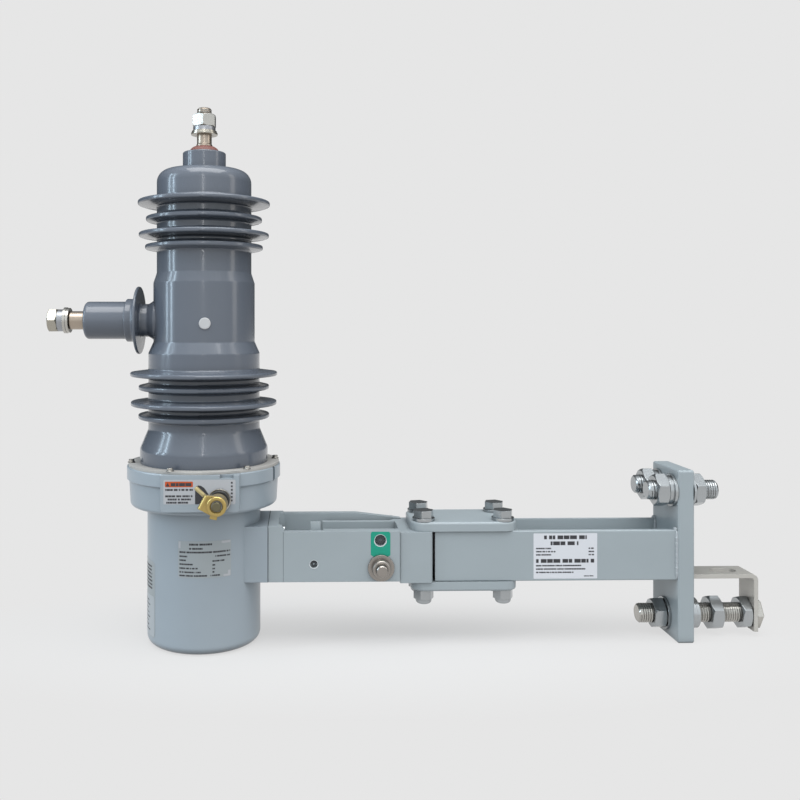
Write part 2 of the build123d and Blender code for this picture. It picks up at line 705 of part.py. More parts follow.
# ---- operating lever ----
with BuildPart() as shaft_bush:
    with BuildSketch(Plane.XZ.offset(PAD_FACE_Y)):
        with Locations((SHAFT_X, SHAFT_Z)):
            Circle(9.9)
    extrude(amount=5.0)
    fillet(shaft_bush.faces().sort_by(Axis.Y)[0].edges(), 1.0)
    with BuildSketch(Plane.XZ.offset(PAD_FACE_Y)):
        with Locations((SHAFT_X, SHAFT_Z)):
            Circle(BUSH_R)
    extrude(amount=-BUSH_LONG)
    with BuildSketch(Plane.XZ.offset(PAD_FACE_Y + 10.0)):
        with Locations((SHAFT_X, SHAFT_Z)):
            Circle(SHAFT_R + RUN_FIT)
    extrude(amount=-60.0, mode=Mode.SUBTRACT)
shaft_bush.part.label = "shaft_bush"
export_step(shaft_bush.part, "parts/shaft_bush.step")

with BuildPart() as bush_ring:
    with BuildSketch(Plane.XZ.offset(PAD_FACE_Y)):
        with Locations((SHAFT_X, SHAFT_Z)):
            Circle(11.6)
            Circle(9.9, mode=Mode.SUBTRACT)
    extrude(amount=2.2)
bush_ring.part.label = "bush_ring"
export_step(bush_ring.part, "parts/bush_ring.step")

HUB_BACK_Y = PAD_FACE_Y + 16.7
HUB_FRONT_Y = HUB_BACK_Y + 17.0
HUB_RECESS = 2.4
with BuildPart() as lever_shaft:
    with BuildSketch(Plane.XZ.offset(HUB_FRONT_Y - HUB_RECESS)):
        with Locations((SHAFT_X, SHAFT_Z)):
            Circle(SHAFT_R)
    extrude(amount=12.0 - HUB_FRONT_Y + HUB_RECESS)
    with Locations((SHAFT_X, BUSH_LONG - PAD_FACE_Y + 1.5, SHAFT_Z)):
        Cylinder(7.2, 1.5, rotation=(90, 0, 0))
lever_shaft.part.label = "lever_shaft"
export_step(lever_shaft.part, "parts/lever_shaft.step")

with BuildPart() as crank:
    with BuildSketch(Plane.XZ.offset(22.0)):
        with Locations((SHAFT_X, SHAFT_Z)):
            Circle(9.5)
        with Locations((PIN_REST_X, PIN_REST_Z)):
            Circle(5.0)
        make_hull()
    extrude(amount=-10.0)
    with BuildSketch(Plane.XZ.offset(30.0)):
        with Locations((SHAFT_X, SHAFT_Z)):
            Circle(SHAFT_R)
    extrude(amount=-18.0, mode=Mode.SUBTRACT)
    with BuildSketch(Plane.XZ.offset(12.0)):
        with Locations((PIN_REST_X, PIN_REST_Z)):
            Circle(CRANK_PIN_R)
    extrude(amount=-20.0)
crank.part.label = "crank"
export_step(crank.part, "parts/crank.step")

# brass hub with a cross barrel on its left, leaning as in the photograph
BARREL_TURN = 61.7
barrel_dir = (cos(radians(BARREL_TURN)), 0, sin(radians(BARREL_TURN)))
BARREL_X = SHAFT_X - 12.6
BARREL_Z = SHAFT_Z + 2.6
BARREL_Y = 7.5 - HUB_FRONT_Y
BARREL_LONG = 15.0
BARREL_R = 3.4
with BuildPart() as lever_hub:
    with BuildSketch(Plane.XZ.offset(HUB_FRONT_Y)):
        with Locations((SHAFT_X, SHAFT_Z)):
            Circle(9.7)
    extrude(amount=HUB_BACK_Y - HUB_FRONT_Y)
    chamfer(lever_hub.faces().sort_by(Axis.Y)[0].edges(), 0.8)
    with BuildSketch(Plane.XZ.offset(-BARREL_Y + 3.2)):
        with BuildLine():
            Polyline(
                (BARREL_X + 3.0, BARREL_Z + 7.2), (SHAFT_X - 1.0, SHAFT_Z + 9.5),
                (SHAFT_X - 2.0, SHAFT_Z - 8.8), (SHAFT_X - 6.5, SHAFT_Z - 9.2),
                (BARREL_X - 4.6, BARREL_Z - 5.8), close=True,
            )
        make_face()
    extrude(amount=-7.0)
    with BuildSketch(Plane(origin=(
        BARREL_X - barrel_dir[0] * BARREL_LONG / 2, BARREL_Y,
        BARREL_Z - barrel_dir[2] * BARREL_LONG / 2,
    ), z_dir=barrel_dir)):
        Circle(BARREL_R)
    extrude(amount=BARREL_LONG)
    # small tab under the hub
    with Locations(Location((SHAFT_X - 3.2, BARREL_Y + 1.5, SHAFT_Z - 10.2), (0, 12, 0))):
        Box(7.0, 7.0, 6.4)
    with BuildSketch(Plane.XZ.offset(HUB_FRONT_Y + 1.0)):
        with Locations((SHAFT_X, SHAFT_Z)):
            Circle(SHAFT_R)
    extrude(amount=HUB_BACK_Y - HUB_FRONT_Y - 2.0, mode=Mode.SUBTRACT)
    with BuildSketch(Plane.XZ.offset(HUB_FRONT_Y + 1.0)):
        with Locations((SHAFT_X, SHAFT_Z)):
            Circle(6.5)
    extrude(amount=-HUB_RECESS - 1.0, mode=Mode.SUBTRACT)
lever_hub.part.label = "lever_hub"
export_step(lever_hub.part, "parts/lever_hub.step")

with BuildPart() as lever_bolt:
    with BuildSketch(Plane.XZ.offset(HUB_FRONT_Y - HUB_RECESS)):
        with Locations((SHAFT_X, SHAFT_Z)):
            Circle(4.6)
    extrude(amount=HUB_RECESS + 0.6)
    fillet(lever_bolt.faces().sort_by(Axis.Y)[0].edges(), 1.0)
lever_bolt.part.label = "lever_bolt"
export_step(lever_bolt.part, "parts/lever_bolt.step")

POINTER_TURN = 137.0
pointer_dir = (cos(radians(POINTER_TURN)), 0, sin(radians(POINTER_TURN)))
PLATE_BACK_Y = -BARREL_Y - 3.8
with BuildPart() as lever_pointer:
    with BuildSketch(Plane.XZ.offset(PLATE_BACK_Y)):
        with Locations((BARREL_X + 2.0, BARREL_Z + 3.4)):
            Circle(2.1)
    extrude(amount=-3.6)
    with BuildSketch(Plane(origin=(
        BARREL_X + 2.0, 2.2 - PLATE_BACK_Y, BARREL_Z + 3.4,
    ), z_dir=pointer_dir)):
        Circle(2.1)
    extrude(amount=15.4)
    chamfer(lever_pointer.faces().sort_by(Axis.X)[0].edges(), 0.6)
lever_pointer.part.label = "lever_pointer"
export_step(lever_pointer.part, "parts/lever_pointer.step")

# ---- fork arm ----
with BuildPart() as fork_arm:
    with Locations(((SEAM_X + FORK_END_X) / 2, 0, (ARM_Z0 + ARM_Z1) / 2)):
        Box(FORK_END_X - SEAM_X, 2 * FORK_Y, ARM_Z1 - ARM_Z0)
    # solid block at the tank end stands higher, with a sloped shoulder
    with BuildSketch(Plane.XZ.offset(FORK_Y)):
        with BuildLine():
            Polyline(
                (SEAM_X, ARM_Z1 - 4.0), (SEAM_X, BOSS_TOP_Z),
                (BLOCK_END_X - 1.6, BOSS_TOP_Z), (BLOCK_END_X + 1.2, ARM_Z1),
                (BLOCK_END_X + 1.2, ARM_Z1 - 4.0), close=True,
            )
        make_face()
    extrude(amount=-2 * FORK_Y)
    # rear wall stands higher than the front one and reaches further
    with BuildSketch(Plane.XZ.offset(-FORK_Y)):
        with BuildLine():
            Polyline(
                (SEAM_X + 6.0, ARM_Z0), (SEAM_X + 6.0, BOSS_TOP_Z - 1.0),
                (PIN_X - 22.1, BOSS_TOP_Z - 1.0), (REAR_END_X, ARM_Z1 - 1.5),
                (REAR_END_X, ARM_Z0), close=True,
            )
        make_face()
    extrude(amount=FORK_WALL)
    # channel between the walls, over a floor
    channel_end = FORK_END_X + 20.0
    with BuildSketch(Plane.XY.offset(ARM_Z0 + 6.0)):
        with Locations(((CHANNEL_X + channel_end) / 2, 0)):
            RectangleRounded(channel_end - CHANNEL_X, 2 * (FORK_Y - FORK_WALL), 6.0)
    extrude(amount=80.0, mode=Mode.SUBTRACT)
    # stop lug behind the front wall
    with Locations((121.4, -FORK_Y + FORK_WALL + 3.9, BOSS_TOP_Z + 2.0 - 11.0)):
        Box(10.7, 8.2, 22.0)
    # holes: small hole, pin hole, spare pin hole, fixing screws
    with BuildSketch(Plane.XZ.offset(FORK_Y + 1.0)):
        with Locations((119.5, 89.1)):
            Circle(4.0)
        with Locations((PIN_X, PIN_Z)):
            Circle(6.0)
        with Locations((PIN_X - 0.7, PIN_Z + 29.0)):
            Circle(5.9)
    extrude(amount=-FORK_WALL - 2.0, mode=Mode.SUBTRACT)
    with BuildSketch(Plane.XZ.offset(-FORK_Y + FORK_WALL + 1.0)):
        with Locations((PIN_X, PIN_Z)):
            Circle(6.0)
    extrude(amount=-FORK_WALL - 2.0, mode=Mode.SUBTRACT)
    with BuildSketch(Plane.YZ.offset(SEAM_X - 1.0)):
        with Locations((0, 97.0)):
            with GridLocations(44.0, 30.0, 2, 2):
                Circle(3.0)
    extrude(amount=20.0, mode=Mode.SUBTRACT)
fork_arm.part.label = "fork_arm"
export_step(fork_arm.part, "parts/fork_arm.step")

with BuildPart() as arm_screws:
    with BuildSketch(Plane.YZ.offset(SEAM_X - 7.0)):
        with Locations((0, 97.0)):
            with GridLocations(44.0, 30.0, 2, 2):
                Circle(3.0)
    extrude(amount=CHANNEL_X - SEAM_X + 7.0)
    with BuildSketch(Plane.YZ.offset(CHANNEL_X)):
        with Locations((0, 97.0)):
            with GridLocations(44.0, 30.0, 2, 2):
                Circle(3.9)
    extrude(amount=6.0)
arm_screws.part.label = "arm_screws"
export_step(arm_screws.part, "parts/arm_screws.step")

# ---- tongue with its knuckle ----
with BuildPart() as tongue:
    with BuildSketch(Plane.XY.offset(ARM_Z0 + 6.4)):
        for side in (-1, 1):
            with BuildLine():
                Polyline(
                    (130.0, side * TONGUE_Y), (KNUCKLE_X - 5.6, side * TONGUE_Y),
                    (KNUCKLE_X, side * 30.0), (KNUCKLE_X + 11.4, side * 30.0),
                    (KNUCKLE_X + 11.4, side * (TONGUE_Y - TONGUE_WALL)),
                    (130.0, side * (TONGUE_Y - TONGUE_WALL)), close=True,
                )
            make_face()
    extrude(amount=CLAMP_Z1 - ARM_Z0 - 6.4)
    with Locations(((132.0 + KNUCKLE_X + 11.4) / 2, 0, ARM_Z0 + 9.6)):
        Box(KNUCKLE_X + 11.4 - 132.0, 2 * TONGUE_Y - 2.0, 6.0)
    with BuildSketch(Plane.XY.offset(CLAMP_Z0)):
        with BuildLine():
            Polyline(
                (KNUCKLE_X, -KNUCKLE_Y), (KNUCKLE_END_X, -KNUCKLE_Y),
                (KNUCKLE_END_X, KNUCKLE_Y), (REAR_END_X + 0.6, KNUCKLE_Y),
                (REAR_END_X + 0.6, 30.0), (KNUCKLE_X, 30.0), close=True,
            )
        make_face()
    extrude(amount=CLAMP_Z1 - CLAMP_Z0)
    fillet(
        tongue.edges().filter_by(Axis.Z).filter_by_position(
            Axis.X, KNUCKLE_END_X - 0.1, KNUCKLE_END_X + 0.1
        ),
        4.0,
    )
    with BuildSketch(Plane.XY.offset(60.0)):
        with Locations(
            (CLAMP_BOLT_XS[0], CLAMP_BOLT_Y), (CLAMP_BOLT_XS[0], -CLAMP_BOLT_Y)
        ):
            Circle(6.3)
    extrude(amount=80.0, mode=Mode.SUBTRACT)
    with BuildSketch(Plane.XZ.offset(60.0)):
        with Locations((PIN_X, PIN_Z)):
            Circle(6.0)
    extrude(amount=-120.0, mode=Mode.SUBTRACT)
tongue.part.label = "tongue"
export_step(tongue.part, "parts/tongue.step")

with BuildPart() as pin_bolt:
    with BuildSketch(Plane.XZ.offset(56.5)):
        with Locations((PIN_X, PIN_Z)):
            Circle(6.0)
    extrude(amount=-100.0)
    chamfer(pin_bolt.faces().sort_by(Axis.Y)[0].edges(), 0.9)
    with BuildSketch(Plane.XZ.offset(-FORK_Y)):
        with Locations((PIN_X, PIN_Z)):
            RegularPolygon(9.5, 6, major_radius=False)
    extrude(amount=-8.0)
pin_bolt.part.label = "pin_bolt"
export_step(pin_bolt.part, "parts/pin_bolt.step")

with BuildPart() as pin_washer:
    with BuildSketch(Plane.XZ.offset(FORK_Y)):
        with Locations((PIN_X, PIN_Z)):
            Circle(13.9)
            Circle(6.0, mode=Mode.SUBTRACT)
    extrude(amount=2.5)
pin_washer.part.label = "pin_washer"
export_step(pin_washer.part, "parts/pin_washer.step")

with BuildPart() as pin_nut:
    with BuildSketch(Plane.XZ.offset(FORK_Y + 2.5)):
        with Locations((PIN_X, PIN_Z)):
            Circle(9.8)
            Circle(6.0, mode=Mode.SUBTRACT)
    extrude(amount=7.5)
    fillet(
        pin_nut.faces().sort_by(Axis.Y)[0].edges().sort_by(SortBy.LENGTH)[-1],
        2.2,
    )
pin_nut.part.label = "pin_nut"
export_step(pin_nut.part, "parts/pin_nut.step")

with BuildPart() as pin_spacers:
    for y0, y1 in ((TONGUE_Y, FORK_Y - FORK_WALL), (-FORK_Y + FORK_WALL, -TONGUE_Y)):
        with BuildSketch(Plane.XZ.offset(-y0)):
            with Locations((PIN_X, PIN_Z)):
                Circle(8.4)
                Circle(6.0, mode=Mode.SUBTRACT)
        extrude(amount=y0 - y1)
pin_spacers.part.label = "pin_spacers"
export_step(pin_spacers.part, "parts/pin_spacers.step")

# ---- clamp plates and bolts ----
clamp_mid_x = (CLAMP_X0 + CLAMP_X1) / 2
clamp_span_x = CLAMP_BOLT_XS[1] - CLAMP_BOLT_XS[0]
bolt_mid_x = (CLAMP_BOLT_XS[1] + CLAMP_BOLT_XS[0]) / 2
with BuildPart() as top_clamp_plate:
    with BuildSketch(Plane.XY.offset(CLAMP_Z1)):
        with Locations((clamp_mid_x, 0)):
            RectangleRounded(CLAMP_X1 - CLAMP_X0, 2 * CLAMP_Y, 14.0)
    extrude(amount=CLAMP_T)
    fillet(top_clamp_plate.faces().sort_by(Axis.Z)[-1].edges(), 2.5)
    with BuildSketch(Plane.XY.offset(CLAMP_Z1 - 1.0)):
        with Locations((bolt_mid_x, 0)):
            with GridLocations(clamp_span_x, 2 * CLAMP_BOLT_Y, 2, 2):
                Circle(6.3)
    extrude(amount=CLAMP_T + 2.0, mode=Mode.SUBTRACT)
top_clamp_plate.part.label = "top_clamp_plate"
export_step(top_clamp_plate.part, "parts/top_clamp_plate.step")

with BuildPart() as bottom_clamp_plate:
    with BuildSketch(Plane.XY.offset(CLAMP_Z0)):
        with Locations((clamp_mid_x, 0)):
            RectangleRounded(CLAMP_X1 - CLAMP_X0, 2 * CLAMP_Y, 14.0)
    extrude(amount=-CLAMP_T)
    fillet(bottom_clamp_plate.faces().sort_by(Axis.Z)[0].edges(), 2.5)
    with BuildSketch(Plane.XY.offset(CLAMP_Z0 + 1.0)):
        with Locations((bolt_mid_x, 0)):
            with GridLocations(clamp_span_x, 2 * CLAMP_BOLT_Y, 2, 2):
                Circle(6.3)
    extrude(amount=-CLAMP_T - 2.0, mode=Mode.SUBTRACT)
bottom_clamp_plate.part.label = "bottom_clamp_plate"
export_step(bottom_clamp_plate.part, "parts/bottom_clamp_plate.step")

HEAD_Z = CLAMP_Z1 + CLAMP_T + 3.0
NUT_Z = CLAMP_Z0 - CLAMP_T
with BuildPart() as clamp_washers:
    with BuildSketch(Plane.XY.offset(CLAMP_Z1 + CLAMP_T)):
        with Locations((bolt_mid_x, 0)):
            with GridLocations(clamp_span_x, 2 * CLAMP_BOLT_Y, 2, 2):
                Circle(12.0)
                Circle(6.3, mode=Mode.SUBTRACT)
    extrude(amount=3.0)
clamp_washers.part.label = "clamp_washers"
export_step(clamp_washers.part, "parts/clamp_washers.step")

with BuildPart() as clamp_bolts:
    with BuildSketch(Plane.XY.offset(HEAD_Z)):
        with Locations((bolt_mid_x, 0)):
            with GridLocations(clamp_span_x, 2 * CLAMP_BOLT_Y, 2, 2):
                RegularPolygon(9.5, 6, major_radius=False, rotation=12)
    extrude(amount=8.0)
    with BuildSketch(Plane.XY.offset(NUT_Z - 9.0)):
        with Locations((bolt_mid_x, 0)):
            with GridLocations(clamp_span_x, 2 * CLAMP_BOLT_Y, 2, 2):
                Circle(6.0)
    extrude(amount=HEAD_Z - NUT_Z + 9.0)
clamp_bolts.part.label = "clamp_bolts"
export_step(clamp_bolts.part, "parts/clamp_bolts.step")

with BuildPart() as clamp_nuts:
    with BuildSketch(Plane.XY.offset(NUT_Z)):
        with Locations((bolt_mid_x, 0)):
            with GridLocations(clamp_span_x, 2 * CLAMP_BOLT_Y, 2, 2):
                RegularPolygon(9.5, 6, major_radius=False, rotation=6)
    extrude(amount=-10.0)
    with BuildSketch(Plane.XY.offset(NUT_Z - 10.0)):
        with Locations((bolt_mid_x, 0)):
            with GridLocations(clamp_span_x, 2 * CLAMP_BOLT_Y, 2, 2):
                Circle(8.6)
    extrude(amount=-5.4)
    fillet(
        clamp_nuts.edges().filter_by(GeomType.CIRCLE).group_by(Axis.Z)[0], 3.6
    )
    with BuildSketch(Plane.XY.offset(NUT_Z)):
        with Locations((bolt_mid_x, 0)):
            with GridLocations(clamp_span_x, 2 * CLAMP_BOLT_Y, 2, 2):
                Circle(6.0)
    extrude(amount=-9.0, mode=Mode.SUBTRACT)
clamp_nuts.part.label = "clamp_nuts"
export_step(clamp_nuts.part, "parts/clamp_nuts.step")

# ---- support arm and mounting plate ----
with BuildPart() as support_arm:
    for side in (-1, 1):
        with Locations((
            (ARM_START_X + MOUNT_X0) / 2,
            side * (SUPPORT_Y - SUPPORT_WALL / 2),
            (CLAMP_Z0 + CLAMP_Z1) / 2,
        )):
            Box(MOUNT_X0 - ARM_START_X, SUPPORT_WALL, CLAMP_Z1 - CLAMP_Z0)
    with Locations(((ARM_START_X + MOUNT_X0) / 2, 0, CLAMP_Z0 + 3.0)):
        Box(MOUNT_X0 - ARM_START_X, 2 * SUPPORT_Y - 2.0, 6.0)
    # solid tenon between the clamp plates, drilled for the bolts
    with Locations(((ARM_START_X + CLAMP_X1 + 2.0) / 2, 0, (CLAMP_Z0 + CLAMP_Z1) / 2)):
        Box(CLAMP_X1 + 2.0 - ARM_START_X, 2 * SUPPORT_Y - 2.0, CLAMP_Z1 - CLAMP_Z0)
    fillet(
        support_arm.edges().filter_by(Axis.X).filter_by(
            lambda e: abs(abs(e.center().Y) - SUPPORT_Y) < 0.2
        ),
        1.2,
    )
    with BuildSketch(Plane.XY.offset(60.0)):
        with Locations(
            (CLAMP_BOLT_XS[1], CLAMP_BOLT_Y), (CLAMP_BOLT_XS[1], -CLAMP_BOLT_Y)
        ):
            Circle(6.3)
    extrude(amount=80.0, mode=Mode.SUBTRACT)
support_arm.part.label = "support_arm"
export_step(support_arm.part, "parts/support_arm.step")

with BuildPart() as mounting_plate:
    with BuildSketch(Plane.YZ.offset(MOUNT_X0)):
        with Locations((0, MOUNT_TOP_Z / 2)):
            RectangleRounded(2 * MOUNT_Y, MOUNT_TOP_Z, 2.5)
    extrude(amount=MOUNT_T)
    chamfer(
        mounting_plate.faces().sort_by(Axis.X)[0].edges()
        + mounting_plate.faces().sort_by(Axis.X)[-1].edges(),
        1.2,
    )
    with BuildSketch(Plane.YZ.offset(MOUNT_X0 - 1.0)):
        with Locations((STUD_Y, STUD_Z), (-STUD_Y, STUD_Z), (0, LONG_Z)):
            Circle(STUD_R)
    extrude(amount=MOUNT_T + 2.0, mode=Mode.SUBTRACT)
mounting_plate.part.label = "mounting_plate"
export_step(mounting_plate.part, "parts/mounting_plate.step")

STUD_LEFT_X = MOUNT_X0 - 28.7
STUD_RIGHT_X = PLATE_RIGHT_X + 30.0
with BuildPart() as upper_studs:
    with BuildSketch(Plane.YZ.offset(STUD_LEFT_X)):
        with Locations((STUD_Y, STUD_Z), (-STUD_Y, STUD_Z)):
            Circle(STUD_R)
    extrude(amount=STUD_RIGHT_X - STUD_LEFT_X)
    chamfer(upper_studs.edges().filter_by(GeomType.CIRCLE), 1.4)
upper_studs.part.label = "upper_studs"
export_step(upper_studs.part, "parts/upper_studs.step")

# each washer: distance of its left face from the plate's face, length, radius
UPPER_LEFT = ((-3.0, 3.0, 17.6), (-7.5, 4.5, 15.5))
LONG_LEFT = ((-3.0, 3.0, 17.6),)
LONG_RIGHT = ((0.0, 3.2, 18.6), (3.2, 4.3, 16.0), (7.5, 4.5, 16.6), (12.0, 3.5, 16.4))
with BuildPart() as plate_washers:
    for face_x, stack in ((MOUNT_X0, UPPER_LEFT), (PLATE_RIGHT_X, ((0.0, 2.5, 17.6),))):
        for start, long, washer_r in stack:
            with BuildSketch(Plane.YZ.offset(face_x + start)):
                with Locations((STUD_Y, STUD_Z), (-STUD_Y, STUD_Z)):
                    Circle(washer_r)
                    Circle(STUD_R, mode=Mode.SUBTRACT)
            extrude(amount=long)
    for face_x, stack in ((MOUNT_X0, LONG_LEFT), (PLATE_RIGHT_X, LONG_RIGHT)):
        for start, long, washer_r in stack:
            with BuildSketch(Plane.YZ.offset(face_x + start)):
                with Locations((0, LONG_Z)):
                    Circle(washer_r)
                    Circle(STUD_R, mode=Mode.SUBTRACT)
            extrude(amount=long)
plate_washers.part.label = "plate_washers"
export_step(plate_washers.part, "parts/plate_washers.step")

NUT_R = NUT20_AF / 2
MIDDLE_NUT_X = PLATE_RIGHT_X + STRAP_REACH * 0.39
LAST_NUT_X = STRAP_LEG_X - 11.0
with BuildPart() as plate_nuts:
    for x, long in ((MOUNT_X0 - 21.0, 13.5), (PLATE_RIGHT_X + 2.5, 11.5)):
        with BuildSketch(Plane.YZ.offset(x)):
            with Locations((STUD_Y, STUD_Z), (-STUD_Y, STUD_Z)):
                RegularPolygon(NUT_R, 6, major_radius=False, rotation=8)
                Circle(STUD_R, mode=Mode.SUBTRACT)
        extrude(amount=long)
    for x, long, turn, af in (
        (MOUNT_X0 - 16.5, 13.5, 0, NUT20_AF),
        (MIDDLE_NUT_X, 13.3, 4, NUT20_AF + 3.0),
        (LAST_NUT_X, 11.0, 10, NUT20_AF),
    ):
        with BuildSketch(Plane.YZ.offset(x)):
            with Locations((0, LONG_Z)):
                RegularPolygon(af / 2, 6, major_radius=False, rotation=turn)
                Circle(STUD_R, mode=Mode.SUBTRACT)
        extrude(amount=long)
plate_nuts.part.label = "plate_nuts"
export_step(plate_nuts.part, "parts/plate_nuts.step")

LONG_LEFT_X = MOUNT_X0 - 32.0
STRAP_OUT_X = STRAP_LEG_X + STRAP_T
with BuildPart() as long_bolt:
    with BuildSketch(Plane.YZ.offset(LONG_LEFT_X)):
        with Locations((0, LONG_Z)):
            Circle(STUD_R)
    extrude(amount=STRAP_OUT_X - LONG_LEFT_X)
    chamfer(long_bolt.faces().sort_by(Axis.X)[0].edges(), 1.4)
    with BuildSketch(Plane.YZ.offset(STRAP_OUT_X)):
        with Locations((0, LONG_Z)):
            RegularPolygon(NUT_R, 6, major_radius=False)
    extrude(amount=7.5)
    chamfer(long_bolt.faces().sort_by(Axis.X)[-1].edges(), 1.6)
long_bolt.part.label = "long_bolt"
export_step(long_bolt.part, "parts/long_bolt.step")

with BuildPart() as l_strap:
    with BuildSketch(Plane.XZ.offset(-STRAP_Y)):
        with BuildLine():
            FilletPolyline(
                (PLATE_RIGHT_X, STRAP_TOP_Z - STRAP_T),
                (STRAP_LEG_X, STRAP_TOP_Z - STRAP_T),
                (STRAP_LEG_X, STRAP_BOTTOM_Z),
                (STRAP_LEG_X + STRAP_T, STRAP_BOTTOM_Z),
                (STRAP_LEG_X + STRAP_T, STRAP_TOP_Z),
                (PLATE_RIGHT_X, STRAP_TOP_Z),
                radius=[0, 3.0, 0, 0, 7.0, 0], close=True,
            )
        make_face()
    extrude(amount=2 * STRAP_Y)
    with BuildSketch(Plane.XY.offset(STRAP_TOP_Z + 1.0)):
        with Locations((SLOT_X, 0)):
            SlotOverall(28.0, 16.0)
    extrude(amount=-STRAP_T - 2.0, mode=Mode.SUBTRACT)
    with BuildSketch(Plane.YZ.offset(STRAP_LEG_X - 1.0)):
        with Locations((0, LONG_Z)):
            Circle(STUD_R)
    extrude(amount=STRAP_T + 2.0, mode=Mode.SUBTRACT)
l_strap.part.label = "l_strap"
export_step(l_strap.part, "parts/l_strap.step")
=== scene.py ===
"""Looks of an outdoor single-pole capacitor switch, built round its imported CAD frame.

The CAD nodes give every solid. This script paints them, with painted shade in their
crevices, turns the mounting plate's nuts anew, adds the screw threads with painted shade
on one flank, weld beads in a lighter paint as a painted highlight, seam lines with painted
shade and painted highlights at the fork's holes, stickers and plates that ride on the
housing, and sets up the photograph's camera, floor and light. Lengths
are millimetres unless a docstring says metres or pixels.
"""
import json
import logging
import math
from dataclasses import dataclass, field
from enum import Enum, IntEnum

import bmesh
import bpy
from mathutils import Matrix, Vector


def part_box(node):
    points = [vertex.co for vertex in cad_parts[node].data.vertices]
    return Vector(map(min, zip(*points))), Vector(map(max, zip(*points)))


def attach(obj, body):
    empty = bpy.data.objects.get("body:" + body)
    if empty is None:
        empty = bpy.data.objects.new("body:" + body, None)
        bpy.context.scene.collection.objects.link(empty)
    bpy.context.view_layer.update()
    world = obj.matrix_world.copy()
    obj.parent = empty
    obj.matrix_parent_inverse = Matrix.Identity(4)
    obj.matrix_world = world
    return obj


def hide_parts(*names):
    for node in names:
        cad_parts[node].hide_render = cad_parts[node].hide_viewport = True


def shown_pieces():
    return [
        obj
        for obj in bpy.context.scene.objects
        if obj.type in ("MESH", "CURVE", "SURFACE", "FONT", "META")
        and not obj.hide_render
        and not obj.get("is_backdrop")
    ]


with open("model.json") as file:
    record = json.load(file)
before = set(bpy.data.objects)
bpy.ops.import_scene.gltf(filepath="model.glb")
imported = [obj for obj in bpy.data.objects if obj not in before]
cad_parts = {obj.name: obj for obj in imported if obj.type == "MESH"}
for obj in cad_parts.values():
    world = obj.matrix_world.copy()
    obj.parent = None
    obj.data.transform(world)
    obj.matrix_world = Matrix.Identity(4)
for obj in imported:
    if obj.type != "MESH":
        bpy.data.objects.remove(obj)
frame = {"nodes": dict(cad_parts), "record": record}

LOG = logging.getLogger("capacitor_switch")
MM = 0.001
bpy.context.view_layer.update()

SMOOTH_ANGLE = 35.0
FLATS_TO_CORNERS = math.cos(math.radians(30.0))
# open holes of the fork arm, along X and up Z from the middle of its pin
SPARE_HOLE = (-0.7, 29.0)
SMALL_HOLE = (-71.0, 4.2)
# tints of the studio's lights
SKY_BLUE = (0.66, 0.85, 1.0)
WARM = (1.0, 0.95, 0.9)


class Body(Enum):
    """CAD body that the added pieces ride on."""

    HOUSING = "housing"


class Grain(Enum):
    """How a finish breaks up its surface."""

    CAST = "cast"
    GLOSS = "gloss"
    TURNED = "turned"
    PRINT = "print"


class Mark(IntEnum):
    """Material index of an area on a label."""

    CARD = 0
    INK = 1
    FIELD = 2


class Line(IntEnum):
    """Material index of a line on the fork arm."""

    SEAM = 0
    CREASE = 1
    RIM_HIGHLIGHT = 2


@dataclass(frozen=True)
class Finish:
    """One finish of the object.

    Args:
        name: Material name.
        color: Linear base colour.
        rough: Roughness of the clean surface.
        metal: 1 for bare metal, 0 for paint and plastics.
        grain: Kind of surface break-up.
        vary: Share by which colour drifts over the surface.
        bump: Height of the fine relief in millimetres.
        coat: Weight of a clear gloss layer.
    """

    name: str
    color: tuple[float, float, float]
    rough: float = 0.4
    metal: float = 0.0
    grain: Grain = Grain.CAST
    vary: float = 0.06
    bump: float = 0.02
    coat: float = 0.0


EPOXY = Finish("epoxy", (0.106, 0.123, 0.152), 0.22, 0.0, Grain.GLOSS, 0.05, 0.006, 0.35)
TANK = Finish("tank_paint", (0.305, 0.356, 0.398), 0.34, 0.0, Grain.CAST, 0.05, 0.035, 0.25)
ARM = Finish("arm_paint", (0.330, 0.378, 0.402), 0.40, 0.0, Grain.CAST, 0.05, 0.02, 0.12)
ZINC = Finish("zinc", (0.42, 0.44, 0.45), 0.22, 0.92, Grain.TURNED, 0.16, 0.015)
STAINLESS = Finish("stainless", (0.50, 0.485, 0.45), 0.22, 0.92, Grain.TURNED, 0.12, 0.010)
TINNED = Finish("tinned", (0.42, 0.355, 0.29), 0.28, 1.0, Grain.TURNED, 0.14, 0.010)
BRASS = Finish("brass", (0.46, 0.34, 0.125), 0.32, 1.0, Grain.CAST, 0.12, 0.03)
COPPER = Finish("copper", (0.72, 0.40, 0.27), 0.3, 1.0, Grain.TURNED, 0.1, 0.01)
CERAMIC = Finish("ceramic", (0.84, 0.83, 0.78), 0.2, 0.0, Grain.GLOSS, 0.02, 0.0, 0.5)
FIBRE = Finish("fibre", (0.45, 0.28, 0.11), 0.35, 0.0, Grain.GLOSS, 0.1, 0.01, 0.2)
SPRING = Finish("spring_steel", (0.36, 0.37, 0.39), 0.35, 1.0, Grain.TURNED, 0.1, 0.01)
MAGNET = Finish("magnet", (0.20, 0.20, 0.22), 0.45, 1.0, Grain.CAST, 0.1, 0.02)
BLACK = Finish("black_plastic", (0.022, 0.021, 0.020), 0.42, 0.0, Grain.CAST, 0.1, 0.02)
RED_SEAL = Finish("red_seal", (0.18, 0.07, 0.058), 0.55, 0.0, Grain.CAST, 0.12, 0.02)
GASKET = Finish("gasket", (0.42, 0.41, 0.39), 0.75, 0.0, Grain.CAST, 0.25, 0.06)
PLUG = Finish("white_plug", (0.50, 0.51, 0.52), 0.5, 0.0, Grain.CAST, 0.05, 0.03)
WHITE_LABEL = Finish("white_label", (0.43, 0.445, 0.47), 0.38, 0.0, Grain.PRINT, 0.03, 0.0)
